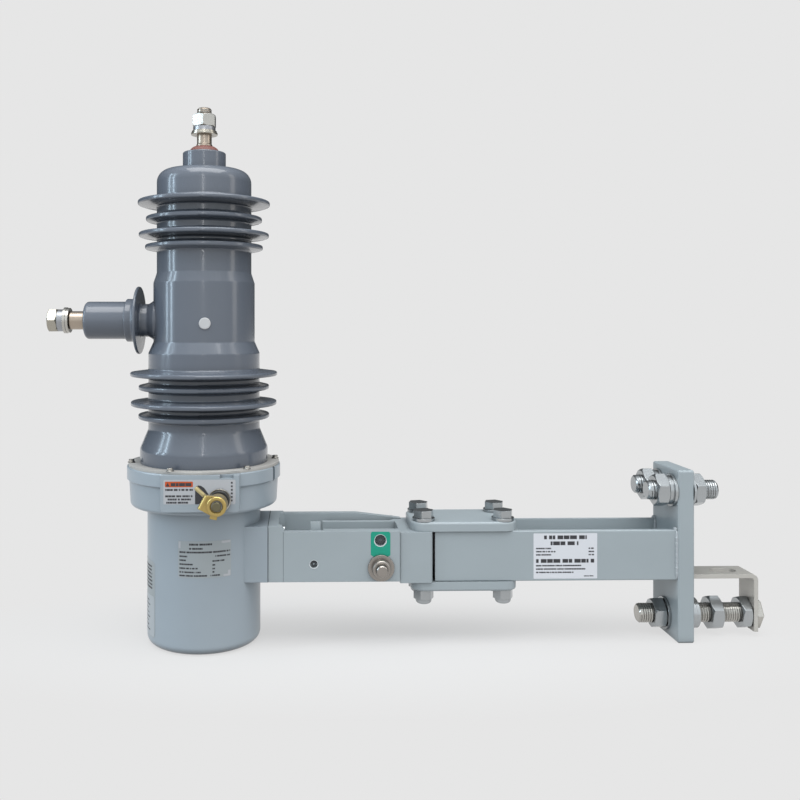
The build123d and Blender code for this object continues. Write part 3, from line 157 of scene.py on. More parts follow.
ARM_LABEL = Finish("arm_label", (0.66, 0.68, 0.72), 0.42, 0.0, Grain.PRINT, 0.03, 0.0)
PLATE_LABEL = Finish("plate_label", (0.33, 0.365, 0.38), 0.35, 0.2, Grain.PRINT, 0.05, 0.0)
INK = Finish("ink", (0.03, 0.03, 0.035), 0.5, 0.0, Grain.PRINT, 0.02, 0.0)
ORANGE = Finish("orange", (0.50, 0.075, 0.012), 0.45, 0.0, Grain.PRINT, 0.04, 0.0)
GREEN = Finish("green_patch", (0.003, 0.30, 0.20), 0.6, 0.0, Grain.PRINT, 0.10, 0.0)
PALE_LABEL = Finish("pale_label", (0.40, 0.43, 0.45), 0.4, 0.0, Grain.PRINT, 0.05, 0.0)
DARK_STEEL = Finish("dark_steel", (0.33, 0.305, 0.28), 0.26, 1.0, Grain.TURNED, 0.15, 0.012)
OLIVE_BOLT = Finish("olive_bolt", (0.16, 0.145, 0.09), 0.34, 1.0, Grain.TURNED, 0.2, 0.02)
WASHER = Finish("washer_steel", (0.42, 0.395, 0.34), 0.24, 0.95, Grain.TURNED, 0.15, 0.012)
STRAP = Finish("strap_steel", (0.52, 0.505, 0.47), 0.38, 0.35, Grain.TURNED, 0.12, 0.012)
POINTER = Finish("pointer_brass", (0.50, 0.42, 0.22), 0.34, 0.8, Grain.CAST, 0.12, 0.02)
# painted shade: near-black finish for one flank of every thread turn
THREAD_FLANK_SHADE = Finish("thread_flank_shade", (0.07, 0.068, 0.065), 0.5, 0.5, Grain.TURNED, 0.1, 0.0)
# painted highlight: the arm's paint made lighter so the weld beads read bright
WELD_HIGHLIGHT_PAINT = Finish("weld", (0.40, 0.44, 0.465), 0.28, 0.0, Grain.CAST, 0.10, 0.05, 0.3)
# dark of the parting line, and painted shade inside the fork's holes
SEAM = Finish("seam_shadow", (0.045, 0.050, 0.055), 0.7, 0.0, Grain.CAST, 0.1, 0.0)
# painted shade: darker line where a shallow crease runs on the fork's front
CREASE = Finish("crease", (0.15, 0.17, 0.18), 0.5, 0.0, Grain.CAST, 0.1, 0.0)
# painted highlight: bright paint on the lower edge of the fork's holes
RIM_HIGHLIGHT = Finish("hole_rim_highlight", (0.62, 0.66, 0.68), 0.3, 0.0, Grain.CAST, 0.1, 0.0, 0.3)

NODE_FINISH = {
    "top_spring_washer": SPRING,
    "side_spring_washer": SPRING,
    "pin_washer": DARK_STEEL,
    "pin_nut": DARK_STEEL,
    "pin_bolt": DARK_STEEL,
    "lever_bolt": OLIVE_BOLT,
    "lever_pointer": POINTER,
    "top_washers": WASHER,
    "side_bolt": WASHER,
    "l_strap": STRAP,
}
SLOT_FINISH = {
    "epoxy_grey": EPOXY,
    "plug_white": PLUG,
    "tank_paint": TANK,
    "arm_paint": ARM,
    "tinned_stud": TINNED,
    "stainless": STAINLESS,
    "zinc": ZINC,
    "seal_red": RED_SEAL,
    "gasket_tan": GASKET,
    "ceramic": CERAMIC,
    "copper": COPPER,
    "rod_fibre": FIBRE,
    "spring_steel": SPRING,
    "magnet": MAGNET,
    "bush_black": BLACK,
    "brass_cast": BRASS,
}


def math_node(
    nodes: bpy.types.Nodes,
    operation: str,
    second: float | None = None,
    third: float | None = None,
) -> bpy.types.ShaderNodeMath:
    """Add a Math node.

    Args:
        nodes: Nodes of the tree that takes it.
        operation: Its operation.
        second: Its second value, or None to leave it.
        third: Its third value, or None to leave it.

    Returns:
        The node.
    """
    node = nodes.new("ShaderNodeMath")
    node.operation = operation
    for place, value in ((1, second), (2, third)):
        if value is not None:
            node.inputs[place].default_value = value
    return node


@dataclass
class ShaderKit:
    """Shared shader group and the materials made from it.

    Args:
        broad_scale: Scale of the colour drift.
        gloss_scale: Scale of the relief on glossy surfaces.
        cast_scale: Scale of the relief on all others.
        painted_shade_reach: Distance over which painted shade darkens crevices.
        painted_shade_open: Openness from which a surface gets no painted shade.
        painted_shade_least: Share of colour left under the painted shade in the deepest crevice.
        edge_radius: Radius by which the shading rounds sharp edges.
        relief_strength: Strength of the relief.
        coat_rough: Roughness of the clear layer.
    """

    broad_scale: float = 22.0
    gloss_scale: float = 260.0
    cast_scale: float = 900.0
    painted_shade_reach: float = 14.0
    painted_shade_open: float = 0.8
    painted_shade_least: float = 0.22
    edge_radius: float = 0.7
    relief_strength: float = 0.6
    coat_rough: float = 0.08

    def __post_init__(self) -> None:
        """Make the shared group and start with no materials."""
        self._made: dict[str, bpy.types.Material] = {}
        self._group = self._breakup_and_shade_group()

    def _breakup_and_shade_group(self) -> bpy.types.ShaderNodeTree:
        """Node group that turns position into colour drift, painted shade in crevices, roughness
        and relief.

        Returns:
            The group, with outputs Color, Roughness and Normal.
        """
        tree = bpy.data.node_groups.new("surface_breakup_and_painted_shade", "ShaderNodeTree")
        for name, kind, value in (
            ("Color", "NodeSocketColor", (0.5, 0.5, 0.5, 1.0)),
            ("Vary", "NodeSocketFloat", 0.05),
            ("Rough", "NodeSocketFloat", 0.4),
            ("Bump", "NodeSocketFloat", 0.02),
            ("Fine", "NodeSocketFloat", self.cast_scale),
        ):
            socket = tree.interface.new_socket(name, in_out="INPUT", socket_type=kind)
            socket.default_value = value
        for name, kind in (
            ("Color", "NodeSocketColor"),
            ("Roughness", "NodeSocketFloat"),
            ("Normal", "NodeSocketVector"),
        ):
            tree.interface.new_socket(name, in_out="OUTPUT", socket_type=kind)
        nodes, links = tree.nodes, tree.links
        ins = nodes.new("NodeGroupInput")
        outs = nodes.new("NodeGroupOutput")
        place = nodes.new("ShaderNodeTexCoord")
        broad = nodes.new("ShaderNodeTexNoise")
        broad.inputs["Scale"].default_value = self.broad_scale
        broad.inputs["Detail"].default_value = 4.0
        fine = nodes.new("ShaderNodeTexNoise")
        fine.inputs["Detail"].default_value = 2.0
        links.new(place.outputs["Object"], broad.inputs["Vector"])
        links.new(place.outputs["Object"], fine.inputs["Vector"])
        links.new(ins.outputs["Fine"], fine.inputs["Scale"])
        # colour times 1 + vary * (noise - 0.5) * 2
        centred = math_node(nodes, "MULTIPLY_ADD", 2.0, -1.0)
        links.new(broad.outputs["Fac"], centred.inputs[0])
        share = math_node(nodes, "MULTIPLY_ADD", third=1.0)
        links.new(centred.outputs[0], share.inputs[0])
        links.new(ins.outputs["Vary"], share.inputs[1])
        # painted shade: colour darkens in crevices found by ambient occlusion, in place of shadow
        nook = nodes.new("ShaderNodeAmbientOcclusion")
        nook.samples = 6
        nook.inputs["Distance"].default_value = self.painted_shade_reach * MM
        crevice_shade = nodes.new("ShaderNodeMapRange")
        crevice_shade.inputs["From Max"].default_value = self.painted_shade_open
        crevice_shade.inputs["To Min"].default_value = self.painted_shade_least
        links.new(nook.outputs["AO"], crevice_shade.inputs["Value"])
        both = math_node(nodes, "MULTIPLY")
        links.new(share.outputs[0], both.inputs[0])
        links.new(crevice_shade.outputs[0], both.inputs[1])
        tint = nodes.new("ShaderNodeVectorMath")
        tint.operation = "SCALE"
        links.new(ins.outputs["Color"], tint.inputs[0])
        links.new(both.outputs[0], tint.inputs["Scale"])
        links.new(tint.outputs[0], outs.inputs["Color"])
        rough = math_node(nodes, "MULTIPLY")
        links.new(ins.outputs["Rough"], rough.inputs[0])
        links.new(share.outputs[0], rough.inputs[1])
        links.new(rough.outputs[0], outs.inputs["Roughness"])
        round_off = nodes.new("ShaderNodeBevel")
        round_off.samples = 4
        round_off.inputs["Radius"].default_value = self.edge_radius * MM
        relief = nodes.new("ShaderNodeBump")
        links.new(round_off.outputs["Normal"], relief.inputs["Normal"])
        relief.inputs["Strength"].default_value = self.relief_strength
        links.new(fine.outputs["Fac"], relief.inputs["Height"])
        links.new(ins.outputs["Bump"], relief.inputs["Distance"])
        links.new(relief.outputs["Normal"], outs.inputs["Normal"])
        return tree

    def material(self, finish: Finish) -> bpy.types.Material:
        """Make or reuse the material of a finish.

        Args:
            finish: The finish wanted.

        Returns:
            Its material.
        """
        if finish.name in self._made:
            return self._made[finish.name]
        mat = bpy.data.materials.new(finish.name)
        mat.use_nodes = True
        nodes, links = mat.node_tree.nodes, mat.node_tree.links
        shader = nodes["Principled BSDF"]
        group = nodes.new("ShaderNodeGroup")
        group.node_tree = self._group
        group.inputs["Color"].default_value = (*finish.color, 1.0)
        group.inputs["Vary"].default_value = finish.vary
        group.inputs["Rough"].default_value = finish.rough
        group.inputs["Bump"].default_value = finish.bump * MM
        fine = self.gloss_scale if finish.grain is Grain.GLOSS else self.cast_scale
        group.inputs["Fine"].default_value = fine
        links.new(group.outputs["Color"], shader.inputs["Base Color"])
        links.new(group.outputs["Roughness"], shader.inputs["Roughness"])
        if finish.bump > 0.0:
            links.new(group.outputs["Normal"], shader.inputs["Normal"])
        shader.inputs["Metallic"].default_value = finish.metal
        shader.inputs["Coat Weight"].default_value = finish.coat
        shader.inputs["Coat Roughness"].default_value = self.coat_rough
        self._made[finish.name] = mat
        return mat


KIT = ShaderKit()


@dataclass
class Piece:
    """An added mesh that rides on a CAD body.

    Args:
        name: Piece name, letters, digits and underscores only.
        body: CAD body that it moves with.
        finishes: Finishes, one per material index.
        slot: Material slot of the record that it belongs to, if any; not used.
        verts: Corner points so far, in metres.
        faces: Faces so far, as tuples of indices into verts.
        marks: Material index of each face.
    """

    name: str
    body: Body
    finishes: tuple[Finish, ...]
    slot: str = ""
    verts: list[Vector] = field(default_factory=list)
    faces: list[tuple[int, ...]] = field(default_factory=list)
    marks: list[int] = field(default_factory=list)

    def add(self, points: list[Vector], faces: list[tuple[int, ...]], mark: int = 0) -> None:
        """Add points in millimetres and faces that index them.

        Args:
            points: Corner points, in millimetres.
            faces: Faces as tuples of indices into points.
            mark: Material index of these faces.
        """
        start = len(self.verts)
        self.verts += [p * MM for p in points]
        self.faces += [tuple(start + i for i in face) for face in faces]
        self.marks += [int(mark)] * len(faces)

    def build(self, smooth: bool = True) -> bpy.types.Object:
        """Make the object and hang it on its body.

        Args:
            smooth: Shade smooth between faces up to SMOOTH_ANGLE degrees apart.

        Returns:
            The finished object.
        """
        mesh = bpy.data.meshes.new(self.name)
        mesh.from_pydata([tuple(v) for v in self.verts], [], self.faces)
        for finish in self.finishes:
            mesh.materials.append(KIT.material(finish))
        mesh.polygons.foreach_set("material_index", self.marks)
        mesh.update()
        work = bmesh.new()
        work.from_mesh(mesh)
        bmesh.ops.recalc_face_normals(work, faces=work.faces)
        work.to_mesh(mesh)
        work.free()
        obj = bpy.data.objects.new(self.name, mesh)
        bpy.context.scene.collection.objects.link(obj)
        if smooth:
            bpy.ops.object.select_all(action="DESELECT")
            obj.select_set(True)
            bpy.context.view_layer.objects.active = obj
            bpy.ops.object.shade_smooth_by_angle(angle=math.radians(SMOOTH_ANGLE))
            obj.select_set(False)
        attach(obj, self.body.value)
        return obj


def box_mm(node: str) -> tuple[Vector, Vector]:
    """Box of a CAD node at rest.

    Args:
        node: Name of the node.

    Returns:
        Its lowest and highest corner, in millimetres.
    """
    lo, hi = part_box(node)
    return lo / MM, hi / MM


def solids_mm(node: str) -> list[tuple[Vector, Vector]]:
    """Boxes of the separate solids in a CAD node.

    Args:
        node: Name of the node.

    Returns:
        Lowest and highest corner of each solid, in millimetres.
    """
    mesh = frame["nodes"][node].data
    links = list(range(len(mesh.vertices)))
    digits = 6  # corners that agree to a micrometre are one

    def top(i: int) -> int:
        """First vertex of the group that a vertex belongs to."""
        while links[i] != i:
            links[i] = links[links[i]]
            i = links[i]
        return i

    seen: dict[tuple[float, ...], int] = {}
    for vert in mesh.vertices:
        links[vert.index] = seen.setdefault(tuple(round(c, digits) for c in vert.co), vert.index)
    for edge in mesh.edges:
        a, b = (top(i) for i in edge.vertices)
        links[a] = b
    boxes: dict[int, tuple[Vector, Vector]] = {}
    for vert in mesh.vertices:
        lo, hi = boxes.setdefault(top(vert.index), (vert.co.copy(), vert.co.copy()))
        for i in range(3):
            lo[i] = min(lo[i], vert.co[i])
            hi[i] = max(hi[i], vert.co[i])
    return [(lo / MM, hi / MM) for lo, hi in boxes.values()]


def girth_mm(node: str, low: float, high: float) -> float:
    """Radius about Z of a CAD node's -X side between two heights.

    Args:
        node: Name of the node.
        low: Lower height in millimetres.
        high: Upper height in millimetres.

    Returns:
        The radius, in millimetres.
    """
    verts = frame["nodes"][node].data.vertices
    return max(-v.co.x / MM for v in verts if low <= v.co.z / MM <= high)


def frame_of(direction: Vector) -> tuple[Vector, Vector]:
    """Two unit vectors square to a direction.

    Args:
        direction: Any non-zero vector.

    Returns:
        The two side vectors.
    """
    d = direction.normalized()
    side = d.cross(Vector((0, 0, 1)))
    nearly_upright = 0.1
    if side.length < nearly_upright:
        side = d.cross(Vector((0, 1, 0)))
    side.normalize()
    return side, d.cross(side)


def lay_along(obj: bpy.types.Object, across: Vector, axis: Vector, origin: Vector) -> None:
    """Turn and move the selected object, and put its place in its mesh.

    Args:
        obj: The object, made on the Z axis.
        across: Unit vector that its X axis takes.
        axis: Unit vector that its Z axis takes.
        origin: Point that its origin takes, in metres.
    """
    place = Matrix((across, axis.cross(across), axis)).transposed().to_4x4()
    place.translation = origin
    obj.matrix_world = place
    bpy.ops.object.transform_apply(location=True, rotation=True, scale=True)


@dataclass(frozen=True)
class Thread:
    """A screw thread on a bare stretch of a stud.

    Args:
        start: First point on the axis.
        end: Last point on the axis.
        radius: Radius of the stud that it stands on.
        pitch: Distance between crests.
        depth: Height of the crest over the stud.
        sink: Depth by which its section stands in the stud.
        crest_share: Half width of a crest, as a share of the pitch.
        steps: Steps to a turn.
        flank_limit: Rise of a face's normal above which it takes the flank's painted shade.
    """

    start: tuple[float, float, float]
    end: tuple[float, float, float]
    radius: float
    pitch: float
    depth: float = 0.6
    sink: float = 0.05
    crest_share: float = 0.46
    steps: int = 22
    flank_limit: float = 0.2

    def build(self, metal: Finish) -> bpy.types.Object:
        """Wind a four-sided section round the stud.

        Args:
            metal: Finish of the crests.

        Returns:
            The thread, with its place in its mesh.
        """
        a, b = Vector(self.start), Vector(self.end)
        d = (b - a).normalized()
        length = (b - a).length
        turns = max(1, int((length - self.pitch) / self.pitch))
        half_diagonal = math.sqrt(0.5)
        bpy.ops.object.select_all(action="DESELECT")
        bpy.ops.mesh.primitive_plane_add(size=1.0, rotation=(math.pi / 2, math.pi / 4, 0.0))
        thread = bpy.context.object
        bpy.ops.object.transform_apply(location=True, rotation=True, scale=True)
        thread.scale.x = (self.depth + self.sink) * MM / half_diagonal
        thread.scale.z = self.crest_share * self.pitch * MM / half_diagonal
        first_turn = (length - turns * self.pitch) / 2 * MM
        thread.location = ((self.radius - self.sink) * MM, 0.0, first_turn)
        bpy.ops.object.transform_apply(location=True, rotation=True, scale=True)
        wind = thread.modifiers.new("wind", "SCREW")
        wind.axis = "Z"
        wind.angle = 2 * math.pi
        wind.screw_offset = self.pitch * MM
        wind.iterations = turns
        wind.steps = wind.render_steps = self.steps
        bpy.ops.object.modifier_apply(modifier=wind.name)
        bpy.ops.object.mode_set(mode="EDIT")
        bpy.ops.mesh.select_all(action="SELECT")
        bpy.ops.mesh.normals_make_consistent(inside=False)
        bpy.ops.object.mode_set(mode="OBJECT")
        for finish in (metal, THREAD_FLANK_SHADE):
            thread.data.materials.append(KIT.material(finish))
        # painted shade: faces of one flank take the dark finish so the turns stand apart
        for face in thread.data.polygons:
            face.material_index = 1 if face.normal.z > self.flank_limit else 0
        lay_along(thread, frame_of(d)[0], d, a * MM)
        return thread


def joined(
    name: str,
    parts: list[bpy.types.Object],
    body: Body,
    angle: float = SMOOTH_ANGLE,
) -> bpy.types.Object:
    """Join parts into one piece that rides on a body.

    Args:
        name: Name of the piece.
        parts: Parts with their materials and places.
        body: Body that it moves with.
        angle: Largest angle shaded smooth, in degrees.

    Returns:
        The piece.
    """
    bpy.ops.object.select_all(action="DESELECT")
    for part in parts:
        part.select_set(True)
    bpy.context.view_layer.objects.active = parts[0]
    if len(parts) > 1:
        bpy.ops.object.join()
    whole = bpy.context.object
    whole.name = name
    bpy.ops.object.shade_smooth_by_angle(angle=math.radians(angle))
    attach(whole, body.value)
    return whole


@dataclass(frozen=True)
class Patch:
    """A flat or wrapped printed area: where it lies and how it is drawn.

    A patch maps (s, t) in millimetres, s to the right and t up, to space.

    Args:
        origin: Point of (0, 0); on a wrapped patch its height and turn.
        wrap: Radius of the cylinder round Z that it wraps, or 0 for a plane.
        lift: Distance off the surface.
        column: Width of the strips that follow a cylinder.
        corner_steps: Steps round a rounded corner.
    """

    origin: tuple[float, float, float]
    wrap: float = 0.0
    lift: float = 0.12
    column: float = 3.0
    corner_steps: int = 5

    def at(self, s: float, t: float, extra: float = 0.0) -> Vector:
        """Point of the patch.

        Args:
            s: Distance to the right.
            t: Distance up.
            extra: Further lift off the surface.

        Returns:
            The point, in millimetres.
        """
        x, y, z = self.origin
        out = self.lift + extra
        if self.wrap <= 0.0:
            return Vector((x + s, y - out, z + t))
        r = self.wrap + out
        turn = math.radians(x) + s / self.wrap
        return Vector((r * math.sin(turn), -r * math.cos(turn), z + t))

    def rect(
        self,
        piece: Piece,
        box: tuple[float, float, float, float],
        mark: int,
        extra: float = 0.0,
        corner: float = 0.0,
    ) -> None:
        """Draw a rectangle, with rounded corners if asked.

        Args:
            piece: Piece that takes the mesh.
            box: Left, low, right and high edges.
            mark: Material index.
            extra: Further lift off the surface.
            corner: Corner radius.
        """
        s0, t0, s1, t1 = box
        columns = max(1, int((s1 - s0) / self.column)) if self.wrap > 0 else 1
        cuts = [s0 + (s1 - s0) * i / columns for i in range(columns + 1)]
        if corner > 0:
            for i in range(1, self.corner_steps):
                a = math.pi / 2 * i / self.corner_steps
                cuts += [s0 + corner * (1 - math.cos(a)), s1 - corner * (1 - math.cos(a))]
        cuts = sorted(set(round(c, 5) for c in cuts))
        points, faces = [], []
        for k, s in enumerate(cuts):
            inset = 0.0
            if corner > 0:
                near = min(s - s0, s1 - s)
                if near < corner:
                    inset = corner - math.sqrt(max(0.0, corner**2 - (corner - near) ** 2))
            points += [self.at(s, t0 + inset, extra), self.at(s, t1 - inset, extra)]
            if k:
                faces.append((2 * k - 2, 2 * k, 2 * k + 1, 2 * k - 1))
        piece.add(points, faces, mark)

    def words(
        self,
        piece: Piece,
        line: tuple[float, float, float, float],
        seed: int,
        mark: int,
        extra: float = 0.05,
    ) -> None:
        """Draw a line of generic print as short bars of uneven length.

        Args:
            piece: Piece that takes the mesh.
            line: Left, low, right and high edges of the line.
            seed: Varies the bar lengths.
            mark: Material index.
            extra: Further lift off the surface.
        """
        s0, t0, s1, t1 = line
        high = t1 - t0
        # all in heights of the line: last bar, shortest bar, spread of lengths, two gaps
        last, shortest, spread, letter_gap, word_gap = 0.3, 0.5, 1.5, 0.16, 0.6
        factor, step, cycle = 37, 11, 97
        s, k = s0, seed
        while s < s1 - high * last:
            k = (k * factor + step) % cycle
            long = high * (shortest + spread * (k / cycle))
            self.rect(piece, (s, t0, min(s + long, s1), t1), mark, extra)
            s += long + high * (letter_gap if k % 4 else word_gap)


@dataclass(frozen=True)
class Hexagon:
    """A hexagon nut with its corners turned down at both ends.

    Args:
        start: Centre of one end.
        end: Centre of the other end.
        flats: Distance across flats.
        turn: Turn of a flat about the axis, in degrees.
        rim_share: Width of the flat end, as a share of the flats.
        slope: Slope of the turned corners, in degrees.
        facets: Sides of the round blank.
        overrun: Length by which the hexagon passes the blank.
        end_limit: Least rise of the normal of an end face.
    """

    start: Vector
    end: Vector
    flats: float
    turn: float = 0.0
    rim_share: float = 0.96
    slope: float = 32.0
    facets: int = 72
    overrun: float = 1.0
    end_limit: float = 0.9

    def turned_blank(self, radius: float, length: float) -> bpy.types.Object:
        """Round blank with a shallow cone at both ends.

        Args:
            radius: Radius at the hexagon's corners.
            length: Full length.

        Returns:
            The blank, on the Z axis.
        """
        rim = self.flats / 2 * self.rim_share
        drop = (radius - rim) * math.tan(math.radians(self.slope))
        bpy.ops.mesh.primitive_cylinder_add(
            vertices=self.facets, radius=radius * MM, depth=(length - 2 * drop) * MM
        )
        blank = bpy.context.object
        for side in (-1, 1):
            bpy.ops.object.mode_set(mode="EDIT")
            bpy.ops.mesh.select_all(action="DESELECT")
            bpy.ops.mesh.select_mode(type="FACE")
            bpy.ops.object.mode_set(mode="OBJECT")
            for face in blank.data.polygons:
                face.select = face.normal.z * side > self.end_limit
            bpy.ops.object.mode_set(mode="EDIT")
            bpy.ops.mesh.extrude_region_move(
                TRANSFORM_OT_translate={"value": (0.0, 0.0, side * drop * MM)}
            )
            bpy.ops.transform.resize(value=(rim / radius, rim / radius, 1.0))
            bpy.ops.object.mode_set(mode="OBJECT")
        return blank

    def build(self) -> bpy.types.Object:
        """Cut the hexagon out of the turned blank.

        Returns:
            The hexagon, with its place in its mesh.
        """
        length = (self.end - self.start).length
        corner = self.flats / 2 / FLATS_TO_CORNERS
        bpy.ops.object.select_all(action="DESELECT")
        blank = self.turned_blank(corner, length)
        bpy.ops.object.select_all(action="DESELECT")
        bpy.ops.mesh.primitive_cylinder_add(
            vertices=6, radius=corner * MM, depth=(length + self.overrun) * MM
        )
        nut = bpy.context.object
        cutter = nut.modifiers.new("turned", "BOOLEAN")
        cutter.operation = "INTERSECT"
        cutter.object = blank
        bpy.ops.object.modifier_apply(modifier=cutter.name)
        bpy.data.objects.remove(blank)
        d = (self.end - self.start).normalized()
        u, v = frame_of(d)
        angle = math.radians(self.turn)
        across = u * math.cos(angle) + v * math.sin(angle)
        lay_along(nut, across, d, (self.start + self.end) / 2 * MM)
        return nut


@dataclass(frozen=True)
class PlateNuts:
    """Nuts of the mounting plate, in place of the plain CAD ones.

    Args:
        box_share: Share of the CAD box's lesser side that is taken as flats.
        made_share: Share of the flats at which a nut is made.
        turn: Turn of a flat about the stud, in degrees.
        smooth_angle: Largest angle shaded smooth, in degrees.
    """

    box_share: float = 0.995
    made_share: float = 0.985
    turn: float = 8.0
    smooth_angle: float = 12.0

    def build(self) -> None:
        """Make the nuts round the same studs."""
        made = []
        for lo, hi in solids_mm("plate_nuts"):
            mid = (lo + hi) / 2
            wide, tall = hi.y - lo.y, hi.z - lo.z
            flats = max(min(wide, tall) * self.box_share, max(wide, tall) * FLATS_TO_CORNERS)
            ends = (Vector((x, mid.y, mid.z)) for x in (lo.x, hi.x))
            made.append(Hexagon(*ends, flats * self.made_share, self.turn).build())
        for nut in made:
            nut.data.materials.append(KIT.material(ZINC))
        nuts = joined("hex_nuts", made, Body.HOUSING, self.smooth_angle)
        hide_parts("plate_nuts")


@dataclass(frozen=True)
class Threads:
    """Threads of the plate studs, long bolt, top stud and pin, one piece per metal.

    Args:
        end_margin: Bare length left at a free end.
        seat_margin: Bare length left at a nut or plate, negative to run into it.
        shortest: Shortest stretch that gets a thread.
        plate_pitch: Pitch of the plate studs and the long bolt.
        strap_wall: Thickness of the strap's wall, at which the bolt's thread ends.
        top_reach: Start and end of the top stud's thread, down from its tip.
        top_sizes: Its radius, pitch and depth.
        pin_nut_gap: Distance by which the pin's thread starts clear of its nut.
        pin_end_gap: Distance by which it ends before the pin's end.
        pin_sizes: Its radius, pitch and depth.
    """

    end_margin: float = 0.5
    seat_margin: float = -2.5
    shortest: float = 4.0
    plate_pitch: float = 2.5
    strap_wall: float = 4.5
    top_reach: tuple[float, float] = (6.4, 0.4)
    top_sizes: tuple[float, float, float] = (7.8, 2.0, 0.25)
    pin_nut_gap: float = 0.3
    pin_end_gap: float = 0.9
    pin_sizes: tuple[float, float, float] = (6.0, 1.75, 0.3)

    def bare(
        self, solid: tuple[Vector, Vector], covers: tuple[str, ...]
    ) -> list[tuple[float, float]]:
        """Stretches of a stud along X that no other solid covers.

        Args:
            solid: Box of the stud, in millimetres.
            covers: Nodes whose solids the stud passes through.

        Returns:
            Start and end of each stretch.
        """
        lo, hi = solid
        mid = (lo + hi) / 2
        blocked = sorted(
            (c_lo.x, c_hi.x)
            for node in covers
            for c_lo, c_hi in solids_mm(node)
            if c_lo.y <= mid.y <= c_hi.y and c_lo.z <= mid.z <= c_hi.z
        )
        stretches, at, margin = [], lo.x, self.end_margin
        for start, end in [*blocked, (hi.x, hi.x)]:
            last = self.end_margin if start >= hi.x else self.seat_margin
            if start - at >= self.shortest:
                stretches.append((at + margin, start - last))
            at, margin = max(at, end), self.seat_margin
        return stretches

    def build(self) -> None:
        """Wind the threads on every bare stud end."""
        zinc, steel = [], []
        covers = ("plate_nuts", "plate_washers", "mounting_plate")
        studs = solids_mm("upper_studs")
        for lo, hi in studs:
            y, z, radius = (lo.y + hi.y) / 2, (lo.z + hi.z) / 2, (hi.z - lo.z) / 2
            for x0, x1 in self.bare((lo, hi), covers):
                thread = Thread((x0, y, z), (x1, y, z), radius, self.plate_pitch)
                zinc.append(thread.build(ZINC))
        lo, hi = box_mm("long_bolt")
        hi.x = box_mm("l_strap")[1].x - self.strap_wall
        z = (lo.z + hi.z) / 2
        stud_lo, stud_hi = studs[0]
        radius = (stud_hi.z - stud_lo.z) / 2
        for x0, x1 in self.bare((lo, hi), covers):
            thread = Thread((x0, 0, z), (x1, 0, z), radius, self.plate_pitch)
            steel.append(thread.build(STAINLESS))
        tip = box_mm("top_stud")[1].z
        foot, head = ((0, 0, tip - reach) for reach in self.top_reach)
        steel.append(Thread(foot, head, *self.top_sizes).build(STAINLESS))
        pin_lo, pin_hi = box_mm("pin_nut")
        pin = (pin_lo + pin_hi) / 2
        near = (pin.x, pin_lo.y - self.pin_nut_gap, pin.z)
        far = (pin.x, box_mm("pin_bolt")[0].y + self.pin_end_gap, pin.z)
        steel.append(Thread(near, far, *self.pin_sizes).build(STAINLESS))
        joined("thread_zinc", zinc, Body.HOUSING)
        joined("thread_stainless", steel, Body.HOUSING)


